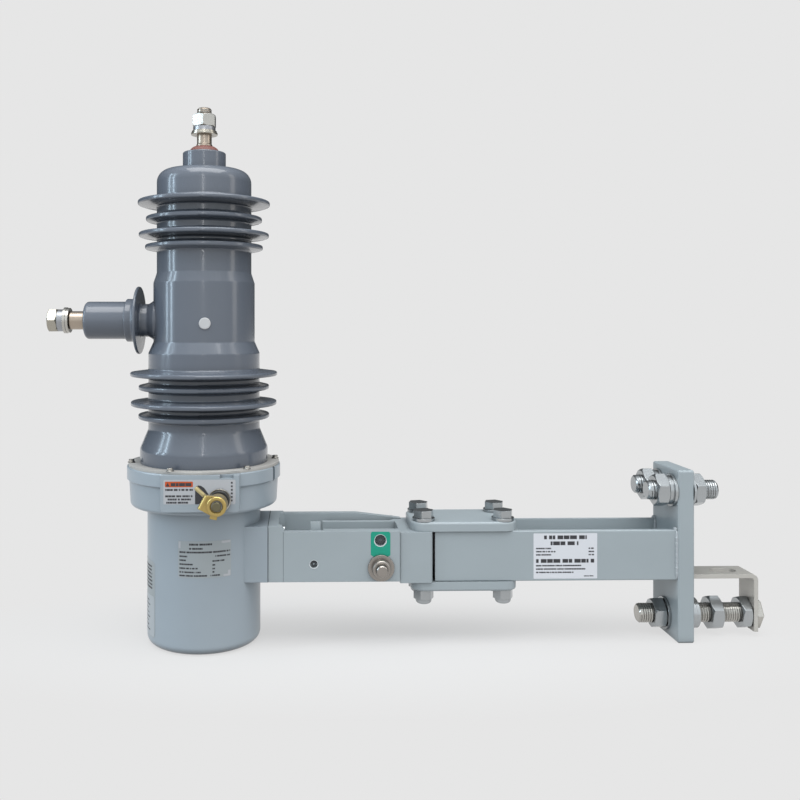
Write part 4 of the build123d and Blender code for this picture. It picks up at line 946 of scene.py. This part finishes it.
@dataclass(frozen=True)
class Labels:
    """Stickers, plates and green paint, with short bars in place of any words.

    A box in the methods is its left, low, right and high edge on the patch.

    Args:
        lift: Distance of a label off its surface.
        field_lift: Further lift of a printed field.
        canister_span: Heights between which the canister's radius is read.
        plate_turn: Turn of the rating plate about Z, in degrees.
        side_turn: Turn of the side label about Z, in degrees.
        paint_lift: Distance of the green paint off the fork.
        paint_hole: Radius of the opening in the green paint.
        paint_steps: Steps round that opening.
    """

    lift: float = 0.1
    field_lift: float = 0.05
    canister_span: tuple[float, float] = (5.0, 140.0)
    plate_turn: float = 6.4
    side_turn: float = -81.0
    paint_lift: float = 0.08
    paint_hole: float = 6.15
    paint_steps: int = 32

    def on_canister(self, turn: float) -> Patch:
        """Patch wrapped on the canister.

        Args:
            turn: Turn of its middle about Z, in degrees.

        Returns:
            The patch, with heights measured from the frame's origin.
        """
        radius = girth_mm("tank", *self.canister_span)
        return Patch((turn, 0.0, 0.0), wrap=radius, lift=self.lift)

    def flange(self) -> None:
        """White sticker on the flange pad with the lever's window."""
        piece = Piece("label_flange", Body.HOUSING, (WHITE_LABEL, INK, ORANGE))
        pad, top = box_mm("tank")
        patch = Patch((0.0, pad.y, top.z), lift=self.lift)
        patch.rect(piece, (-31.9, -28.9, 40.3, -4.1), Mark.CARD, corner=1.6)
        patch.rect(piece, (-30.3, -11.6, -2.4, -5.9), Mark.FIELD, extra=0.06, corner=1.0)
        triangle = ((-29.6, -10.9), (-25.6, -10.9), (-27.6, -6.9))
        piece.add([patch.at(s, t, 0.1) for s, t in triangle], [(0, 1, 2)], Mark.INK)
        patch.words(piece, (-24.4, -10.6, -4.0, -7.4), 17, Mark.INK, extra=0.1)
        lines = (
            (-15.2, -30.0, -2.4), (-21.6, -30.0, -2.8), (-24.8, -27.6, -4.4), (-28.0, -29.0, -6.4),
        )
        line_high = 1.9
        for k, (low, s0, s1) in enumerate(lines):
            patch.words(piece, (s0, low, s1, low + line_high), 5 + 7 * k, Mark.INK)
        dots, first_dot, dot_step, half_dot = 6, -7.3, 3.55, 0.9
        for k in range(dots):
            t = first_dot - dot_step * k
            patch.rect(piece, (35.6, t - half_dot, 37.4, t + half_dot), Mark.INK, extra=0.06)
        window = [
            (-0.2, -28.7), (3.6, -28.7), (14.0, -20.0), (9.0, -12.5),
            (6.0, -10.4), (3.6, -9.8), (1.2, -10.6), (-0.2, -13.0),
        ]
        corners = [patch.at(s, t, 0.08) for s, t in window]
        piece.add(corners, [tuple(range(len(window)))], Mark.INK)
        piece.build(smooth=False)

    def rating_plate(self) -> None:
        """Silver plate wrapped on the canister's front."""
        piece = Piece("label_rating", Body.HOUSING, (PLATE_LABEL, INK, WHITE_LABEL))
        patch = self.on_canister(self.plate_turn)
        patch.rect(piece, (-28.0, 81.0, 28.2, 119.0), Mark.CARD, corner=1.2)
        # low edge, start, end and height of each line
        rows = (
            (114.6, -16.0, 8.0, 2.0), (110.4, -16.0, -2.0, 1.8), (106.6, -26.5, 27.0, 1.8),
            (102.4, -26.5, -18.0, 1.6), (102.4, 11.0, 27.0, 1.6), (98.4, -26.5, -19.5, 1.6),
            (97.4, 8.0, 21.0, 1.6), (94.3, -26.5, -11.0, 1.6), (93.4, 8.0, 11.0, 1.6),
            (90.2, -26.5, -6.0, 1.6), (89.6, 8.0, 11.0, 1.6), (86.2, -26.5, -4.0, 1.6),
            (86.2, 8.0, 10.0, 1.6), (82.6, -26.5, 2.6, 1.6), (82.6, 6.0, 16.0, 1.6),
        )
        for k, (low, s0, s1, high) in enumerate(rows):
            patch.words(piece, (s0, low, s1, low + high), 3 + 11 * k, Mark.INK)
        fields = (
            (17.6, 116.0, 27.4, 118.2), (-27.4, 111.6, -25.2, 118.2),
            (19.6, 81.6, 27.4, 83.6), (24.6, 83.6, 27.4, 87.4),
        )
        for box in fields:
            patch.rect(piece, box, Mark.FIELD, extra=self.field_lift)
        piece.build()

    def side_label(self) -> None:
        """Label wrapped on the canister's left."""
        piece = Piece("label_side", Body.HOUSING, (PLATE_LABEL, INK, PALE_LABEL))
        patch = self.on_canister(self.side_turn)
        patch.rect(piece, (-34.0, 11.0, 32.0, 91.5), Mark.CARD, corner=5.0)
        patch.rect(
            piece, (-33.0, 12.4, 31.0, 55.0), Mark.FIELD, extra=self.field_lift, corner=3.0
        )
        for k in range(7):
            line = (-29.0, 62.0 + 3.8 * k, 26.0, 63.8 + 3.8 * k)
            patch.words(piece, line, 9 + 5 * k, Mark.INK)
        for k in range(8):
            line = (-29.0, 17.0 + 4.4 * k, 20.0 - 3 * (k % 3), 18.2 + 4.4 * k)
            patch.words(piece, line, 4 + k, Mark.INK, extra=0.1)
        piece.build()

    def arm_sticker(self) -> None:
        """White sticker on the support arm's front plate."""
        piece = Piece("label_arm", Body.HOUSING, (ARM_LABEL, INK))
        arm = box_mm("support_arm")[0]
        patch = Patch((arm.x, arm.y, arm.z), lift=self.lift)
        left, right, fine = 108.4, 171.0, 1.5
        patch.rect(piece, (105.6, 2.3, 174.3, 51.0), Mark.CARD, corner=1.0)
        patch.words(piece, (117.0, 44.6, 163.0, 48.6), 8, Mark.INK)
        patch.words(piece, (124.0, 38.2, 154.0, 42.2), 5, Mark.INK)
        for k, low in enumerate((34.0, 30.6, 27.2)):
            patch.words(piece, (left, low, 124.6 + 5.0 * (k == 1), low + fine), 4 + k, Mark.INK)
            patch.words(piece, (165.0, low, right, low + fine), 14 + k, Mark.INK)
        patch.words(piece, (left, 19.4, right, 23.4), 21, Mark.INK)
        for k, (low, s1) in enumerate(((15.6, 157.0), (12.0, 162.0), (8.4, 149.0))):
            patch.words(piece, (left, low, s1, low + fine), 31 + k, Mark.INK)
        patch.words(piece, (160.0, 4.6, 170.6, 5.7), 3, Mark.INK)
        piece.build(smooth=False)

    def green_patch(self) -> None:
        """Green paint round the fork's spare pin hole."""
        piece = Piece("patch_green", Body.HOUSING, (GREEN,))
        pin_lo, pin_hi = box_mm("pin_washer")
        middle = ((pin_lo.x + pin_hi.x) / 2, pin_hi.y, (pin_lo.z + pin_hi.z) / 2)
        patch = Patch(middle, lift=self.paint_lift)
        (cx, cz), r, steps = SPARE_HOLE, self.paint_hole, self.paint_steps
        x0, x1, z0, z1 = -10.9, 9.9, 11.6, 38.1
        level = 1e-6  # least slope that a division takes
        ring, edge = [], []
        for k in range(steps):
            a = 2 * math.pi * k / steps
            c, s = math.cos(a), math.sin(a)
            ring.append(patch.at(cx + r * c, cz + r * s))
            reach = min(
                ((x1 - cx) if c > 0 else (cx - x0)) / max(abs(c), level),
                ((z1 - cz) if s > 0 else (cz - z0)) / max(abs(s), level),
            )
            edge.append(patch.at(cx + reach * c, cz + reach * s))
        faces = [(k, (k + 1) % steps, steps + (k + 1) % steps, steps + k) for k in range(steps)]
        piece.add(ring + edge, faces)
        piece.build(smooth=False)

    def build(self) -> None:
        """Make every label."""
        self.flange()
        self.rating_plate()
        self.side_label()
        self.arm_sticker()
        self.green_patch()


@dataclass(frozen=True)
class Bead:
    """A weld bead between two points.

    Args:
        start: First point.
        end: Last point.
        radius: Mean radius of the bead.
        sides: Sides of its section.
        ring_step: Distance between its rings.
        ripple: Share of the radius, and rate, of the quick ripple.
        drift: Share of the radius, rate and start of the slow ripple.
        blunt: How late the radius falls off towards the ends.
        least: Radius at the very ends.
        fewest: Fewest steps along the bead.
    """

    start: tuple[float, float, float]
    end: tuple[float, float, float]
    radius: float = 2.2
    sides: int = 10
    ring_step: float = 1.1
    ripple: tuple[float, float] = (0.10, 2.4)
    drift: tuple[float, float, float] = (0.06, 1.1, 2.0)
    blunt: int = 8
    least: float = 0.05
    fewest: int = 6

    def into(self, piece: Piece) -> None:
        """Lay the bead into a piece.

        Args:
            piece: Piece that takes the mesh.
        """
        a, b = Vector(self.start), Vector(self.end)
        d = (b - a).normalized()
        u, v = frame_of(d)
        length = (b - a).length
        rings = max(self.fewest, int(length / self.ring_step))
        (quick, quick_rate), (slow, slow_rate, slow_start) = self.ripple, self.drift
        sides = self.sides
        points, faces = [], []
        for k in range(rings + 1):
            t = k / rings
            swell = 1.0 + quick * math.sin(k * quick_rate)
            swell += slow * math.sin(k * slow_rate + slow_start)
            end = math.sqrt(max(0.0, 1 - (2 * t - 1) ** self.blunt))
            r = max(self.least, self.radius * swell * end)
            for j in range(sides):
                angle = 2 * math.pi * j / sides
                out = u * math.cos(angle) + v * math.sin(angle)
                points.append(a + d * (t * length) + out * r)
                if k:
                    i, n = sides * k + j, sides * k + (j + 1) % sides
                    faces.append((i - sides, n - sides, n, i))
        last = sides * rings
        faces += [tuple(range(sides)), tuple(range(last, last + sides))]
        piece.add(points, faces)


@dataclass(frozen=True)
class Welds:
    """Weld beads where the support arm meets its mounting plate, in paint lighter than the arm's
    as a painted highlight.

    Args:
        off_plate: Distance of the beads from the plate's face.
        wall: Thickness of the arm's walls.
        low_end: Height of a bead's foot over the arm's underside.
        off_top: Distance of a bead from the arm's top edge.
        radii: Radius of the outer, the top and the inner bead.
    """

    off_plate: float = 0.6
    wall: float = 6.0
    low_end: float = 1.0
    off_top: float = 0.4
    radii: tuple[float, float, float] = (1.9, 2.3, 1.6)

    def build(self) -> None:
        """Lay the beads."""
        piece = Piece("weld_beads", Body.HOUSING, (WELD_HIGHLIGHT_PAINT,), "arm_paint")
        lo, hi = box_mm("support_arm")
        face = box_mm("mounting_plate")[0].x - self.off_plate
        outer_r, top_r, inner_r = self.radii
        for side in (-1.0, 1.0):
            out, inner = side * hi.y, side * (hi.y - self.wall)
            top = hi.z + self.off_top
            foot, head = (face, out, lo.z + self.low_end), (face, out, hi.z - self.off_top)
            Bead(foot, head, outer_r).into(piece)
            Bead((face, out, top), (face, inner, top), top_r).into(piece)
            Bead((face, inner, lo.z + self.wall), (face, inner, hi.z), inner_r).into(piece)
        piece.build()


@dataclass(frozen=True)
class Seams:
    """Parting line of the fork arm, with painted shade along a crease and inside its holes, and a
    painted highlight on the holes' lower edges.

    Args:
        steps: Steps round a hole.
        top_height: Height of the seam on the top over the arm's underside.
        off_wall: Distance of the painted highlight rim off the fork's wall.
        shade_back: Distance by which the painted shade lies behind the rim.
    """

    steps: int = 40
    top_height: float = 58.9
    off_wall: float = 0.12
    shade_back: float = 1.2

    def ring(
        self, piece: Piece, middle: Vector, inner: float, outer: float, mark: int, side: int = -1
    ) -> None:
        """Flat ring facing -Y.

        Args:
            piece: Piece that takes the mesh.
            middle: Centre of the ring.
            inner: Inner radius.
            outer: Outer radius.
            mark: Material index.
            side: -1 where the ring is wider below, +1 where above.
        """
        points, faces = [], []
        for k in range(self.steps):
            a = 2 * math.pi * k / self.steps
            wide = outer if math.sin(a) * side > 0 else (inner + outer) / 2
            out = Vector((math.cos(a), 0.0, math.sin(a)))
            points += [middle + out * inner, middle + out * wide]
            n = (2 * k + 2) % (2 * self.steps)
            faces.append((2 * k, n, n + 1, 2 * k + 1))
        piece.add(points, faces, mark)

    def build(self) -> None:
        """Draw the lines."""
        lo, hi = box_mm("fork_arm")
        piece = Piece("arm_seams_and_painted_light", Body.HOUSING, (SEAM, CREASE, RIM_HIGHLIGHT))
        patch = Patch((lo.x, lo.y - 0.5, lo.z), lift=0.05)
        left, right = -0.3, 0.4
        patch.rect(piece, (left, 0.2, right, 58.6), Line.SEAM)
        # painted shade along a shallow crease
        patch.rect(piece, (16.0, 0.4, 16.5, 52.8), Line.CREASE, extra=-0.48)
        top = lo.z + self.top_height
        corners = (
            (lo.x + left, lo.y), (lo.x + right, lo.y), (lo.x + right, hi.y), (lo.x + left, hi.y),
        )
        piece.add([Vector((x, y, top)) for x, y in corners], [(0, 1, 2, 3)], Line.SEAM)
        pin_lo, pin_hi = box_mm("pin_washer")
        pin = (pin_lo + pin_hi) / 2
        face = lo.y - self.off_wall
        # painted highlight: bright ring, wider below, on the lower edge of each hole
        for (x, z), inner, outer in ((SPARE_HOLE, 5.9, 6.9), (SMALL_HOLE, 4.0, 5.0)):
            self.ring(piece, Vector((pin.x + x, face, pin.z + z)), inner, outer, Line.RIM_HIGHLIGHT)
        # painted shade: dark rings just inside each hole, wider above
        back = face + self.shade_back
        for (x, z), inner, outer in ((SPARE_HOLE, 1.5, 6.4), (SMALL_HOLE, 0.8, 4.6)):
            self.ring(piece, Vector((pin.x + x, back, pin.z + z)), inner, outer, Line.SEAM, 1)
        piece.build(smooth=False)


class Paint:
    """Finishes of the CAD nodes."""

    def build(self) -> None:
        """Give every CAD node the finish of its material slot."""
        for row in frame["record"]["subparts"]:
            obj = frame["nodes"][row["node"]]
            obj.data.materials.clear()
            finish = NODE_FINISH.get(row["node"], SLOT_FINISH[row["material_slot"]])
            obj.data.materials.append(KIT.material(finish))


@dataclass(frozen=True)
class Softbox:
    """One rectangular light.

    Args:
        name: Light name.
        place: Where it stands, in metres.
        aim: Point that it faces, in metres.
        size: Width and height, in metres.
        watts: Power.
        tint: Colour of the light.
    """

    name: str
    place: tuple[float, float, float]
    aim: tuple[float, float, float]
    size: tuple[float, float]
    watts: float
    tint: tuple[float, float, float] = (1.0, 1.0, 1.0)

    def build(self) -> None:
        """Make the light."""
        data = bpy.data.lights.new(self.name, "AREA")
        data.shape = "RECTANGLE"
        data.size, data.size_y = self.size
        data.energy = self.watts
        data.color = self.tint
        obj = bpy.data.objects.new(self.name, data)
        obj.location = self.place
        ray = Vector(self.aim) - Vector(self.place)
        obj.rotation_euler = ray.to_track_quat("-Z", "Y").to_euler()
        bpy.context.scene.collection.objects.link(obj)


@dataclass(frozen=True)
class Studio:
    """Camera, floor, backdrop colour and lights.

    A value whose name ends in px is in pixels of the 800-pixel frame.

    Args:
        background: Linear tone of the backdrop.
        sensor: Width of the camera's sensor.
        frame_px: Width of the frame.
        focal_px: Focal length, and distance of the camera from the tank's axis.
        mm_per_px: Millimetres to a pixel at the tank's axis.
        right_px: Place of the camera right of the axis.
        height_px: Height of the camera.
        yaw: Turn of the camera to the right, in degrees.
        shift_px: Shift of the frame to the right, before the yaw's share.
        horizon_px: Place of the horizon, from the top of the frame.
        clip_start: Nearest distance that the camera sees, in metres.
        world_strength: Strength of the surround.
        sky_base: Colour at the dark end of the surround.
        sky_tint: Colour of the surround at full tone.
        sky: Place along the ramp and tone there.
        sky_rise: How fast the surround brightens upwards.
        sky_middle: Place along the ramp of the level side view.
        sky_behind: How fast it darkens behind the object.
        floor_size: Side of the floor, in metres.
        floor_tone: Linear tone of the floor.
        floor_glow: Strength of the floor's glow on other surfaces.
        shadow_scale: Scale of the floor's X, Y and Z in which the shadow fades.
        shadow_shift: Shift of its middle after that scale, in metres.
        shadow_near: Scaled distance at which it starts to fade, in metres.
        shadow_far: Scaled distance at which it has faded, in metres.
        shadow_least: Share of the glow at its middle.
        lights: The rectangular lights.
    """

    background: float = 0.791
    sensor: float = 36.0
    frame_px: float = 800.0
    focal_px: float = 887.0
    mm_per_px: float = 1.1
    right_px: float = 96.0
    height_px: float = 310.0
    yaw: float = 1.3
    shift_px: float = 99.3
    horizon_px: float = 325.4
    clip_start: float = 0.01
    world_strength: float = 1.22
    sky_base: tuple[float, float, float] = (0.05, 0.055, 0.06)
    sky_tint: tuple[float, float, float] = (0.93, 0.97, 1.0)
    sky: tuple[tuple[float, float], ...] = ((0.40, 0.10), (0.55, 0.28), (0.75, 0.78), (1.0, 1.0))
    sky_rise: float = 0.33
    sky_middle: float = 0.5
    sky_behind: float = -0.38
    floor_size: float = 40.0
    floor_tone: float = 0.67
    floor_glow: float = 0.5
    shadow_scale: tuple[float, float, float] = (0.4, 1.0, 1.0)
    shadow_shift: tuple[float, float, float] = (-0.08, 0.0, 0.0)
    shadow_near: float = 0.02
    shadow_far: float = 0.21
    shadow_least: float = 0.6
    lights: tuple[Softbox, ...] = (
        Softbox("window_a", (-1.52, -0.50, 0.80), (0.0, 0.0, 0.35), (0.12, 1.1), 5.6, SKY_BLUE),
        Softbox("window_b", (-1.56, -0.14, 0.80), (0.0, 0.0, 0.35), (0.13, 1.1), 4.6, SKY_BLUE),
        Softbox("front_strip", (0.10, -1.75, 0.95), (0.0, 0.0, 0.3), (0.05, 1.0), 1.6),
        Softbox("right_box", (1.55, -0.35, 0.85), (0.1, 0.0, 0.3), (0.34, 1.2), 2.2, WARM),
        Softbox("top_box", (0.2, -0.55, 1.9), (0.2, 0.0, 0.2), (1.8, 1.2), 26.0),
    )

    def camera(self) -> None:
        """Level camera in line with the tank's left side, shifted to the photograph's frame."""
        data = bpy.data.cameras.new("photo")
        cam = bpy.data.objects.new("photo", data)
        bpy.context.scene.collection.objects.link(cam)
        data.sensor_width = self.sensor
        data.lens = self.sensor * self.focal_px / self.frame_px
        yaw = math.radians(self.yaw)
        place_px = (self.right_px, -self.focal_px, self.height_px)
        cam.location = tuple(px * self.mm_per_px * MM for px in place_px)
        cam.rotation_euler = (math.radians(90.0), 0.0, -yaw)
        aside = math.tan(yaw) * self.focal_px / self.frame_px
        data.shift_x = self.shift_px / self.frame_px - aside
        data.shift_y = -(self.frame_px / 2 - self.horizon_px) / self.frame_px
        data.clip_start = self.clip_start
        bpy.context.scene.camera = cam

    def world(self) -> None:
        """Studio surround that lights the object, and the flat tone that the camera sees."""
        world = bpy.data.worlds.new("studio")
        bpy.context.scene.world = world
        world.use_nodes = True
        nodes, links = world.node_tree.nodes, world.node_tree.links
        out = nodes["World Output"]
        lit = nodes["Background"]
        lit.inputs["Strength"].default_value = self.world_strength
        place = nodes.new("ShaderNodeTexCoord")
        split = nodes.new("ShaderNodeSeparateXYZ")
        ramp = nodes.new("ShaderNodeValToRGB")
        ramp.color_ramp.elements.remove(ramp.color_ramp.elements[1])
        ramp.color_ramp.elements[0].color = (*self.sky_base, 1.0)
        for height, tone in self.sky:
            stop = ramp.color_ramp.elements.new(height)
            stop.color = (*(part * tone for part in self.sky_tint), 1.0)
        # brightest ahead and above, dark behind, beside and below
        rise = math_node(nodes, "MULTIPLY_ADD", self.sky_rise, self.sky_middle)
        ahead = math_node(nodes, "MULTIPLY_ADD", self.sky_behind)
        links.new(place.outputs["Generated"], split.inputs[0])
        links.new(split.outputs["Z"], rise.inputs[0])
        links.new(split.outputs["Y"], ahead.inputs[0])
        links.new(rise.outputs[0], ahead.inputs[2])
        links.new(ahead.outputs[0], ramp.inputs["Fac"])
        links.new(ramp.outputs["Color"], lit.inputs["Color"])
        seen = nodes.new("ShaderNodeBackground")
        seen.inputs["Color"].default_value = (self.background,) * 3 + (1.0,)
        path = nodes.new("ShaderNodeLightPath")
        mix = nodes.new("ShaderNodeMixShader")
        links.new(path.outputs["Is Camera Ray"], mix.inputs["Fac"])
        links.new(lit.outputs[0], mix.inputs[1])
        links.new(seen.outputs[0], mix.inputs[2])
        links.new(mix.outputs[0], out.inputs["Surface"])

    def floor(self) -> None:
        """Pale floor that takes soft shadows near the object and fades to the backdrop."""
        bpy.ops.object.select_all(action="DESELECT")
        bpy.ops.mesh.primitive_plane_add(size=self.floor_size, location=(0.0, 0.0, 0.0))
        floor = bpy.context.object
        floor.name = "floor"
        mat = bpy.data.materials.new("floor")
        mat.use_nodes = True
        nodes, links = mat.node_tree.nodes, mat.node_tree.links
        diffuse = nodes.new("ShaderNodeBsdfDiffuse")
        diffuse.inputs["Color"].default_value = (self.floor_tone,) * 3 + (1.0,)
        glow = nodes.new("ShaderNodeEmission")
        glow.inputs["Color"].default_value = (self.background,) * 3 + (1.0,)
        # full strength to the eye and in reflections, so the undersides stay in shade
        path = nodes.new("ShaderNodeLightPath")
        mirrored = math_node(nodes, "MAXIMUM")
        seen = math_node(nodes, "MAXIMUM")
        links.new(path.outputs["Is Glossy Ray"], mirrored.inputs[0])
        links.new(path.outputs["Is Transmission Ray"], mirrored.inputs[1])
        links.new(path.outputs["Is Camera Ray"], seen.inputs[0])
        links.new(mirrored.outputs[0], seen.inputs[1])
        strength = nodes.new("ShaderNodeMapRange")
        strength.inputs["To Min"].default_value = self.floor_glow
        links.new(seen.outputs[0], strength.inputs["Value"])
        links.new(strength.outputs[0], glow.inputs["Strength"])
        place = nodes.new("ShaderNodeTexCoord")
        flat = nodes.new("ShaderNodeMapping")
        flat.inputs["Location"].default_value = self.shadow_shift
        flat.inputs["Scale"].default_value = self.shadow_scale
        far = nodes.new("ShaderNodeVectorMath")
        far.operation = "LENGTH"
        fade = nodes.new("ShaderNodeMapRange")
        fade.inputs["From Min"].default_value = self.shadow_near
        fade.inputs["From Max"].default_value = self.shadow_far
        fade.inputs["To Min"].default_value = self.shadow_least
        mix = nodes.new("ShaderNodeMixShader")
        links.new(place.outputs["Object"], flat.inputs[0])
        links.new(flat.outputs["Vector"], far.inputs[0])
        links.new(far.outputs["Value"], fade.inputs["Value"])
        links.new(fade.outputs[0], mix.inputs["Fac"])
        links.new(diffuse.outputs[0], mix.inputs[1])
        links.new(glow.outputs[0], mix.inputs[2])
        links.new(mix.outputs[0], nodes["Material Output"].inputs["Surface"])
        floor.data.materials.append(mat)
        floor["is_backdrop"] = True

    def build(self) -> None:
        """Set up the whole studio."""
        bpy.context.scene.view_settings.view_transform = "Standard"
        self.camera()
        self.world()
        self.floor()
        for light in self.lights:
            light.build()


def write_size() -> None:
    """Update the view layer after the looks were added."""
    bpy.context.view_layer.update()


def main() -> None:
    """Build the looks and the studio."""
    logging.basicConfig(level=logging.INFO)
    Paint().build()
    PlateNuts().build()
    Threads().build()
    Labels().build()
    Seams().build()
    Welds().build()
    Studio().build()
    write_size()
    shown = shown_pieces()
    for piece in shown:
        LOG.info("piece %s", piece.name)
    LOG.info("pieces: %d", len(shown))


if __name__ == "__main__":
    main()
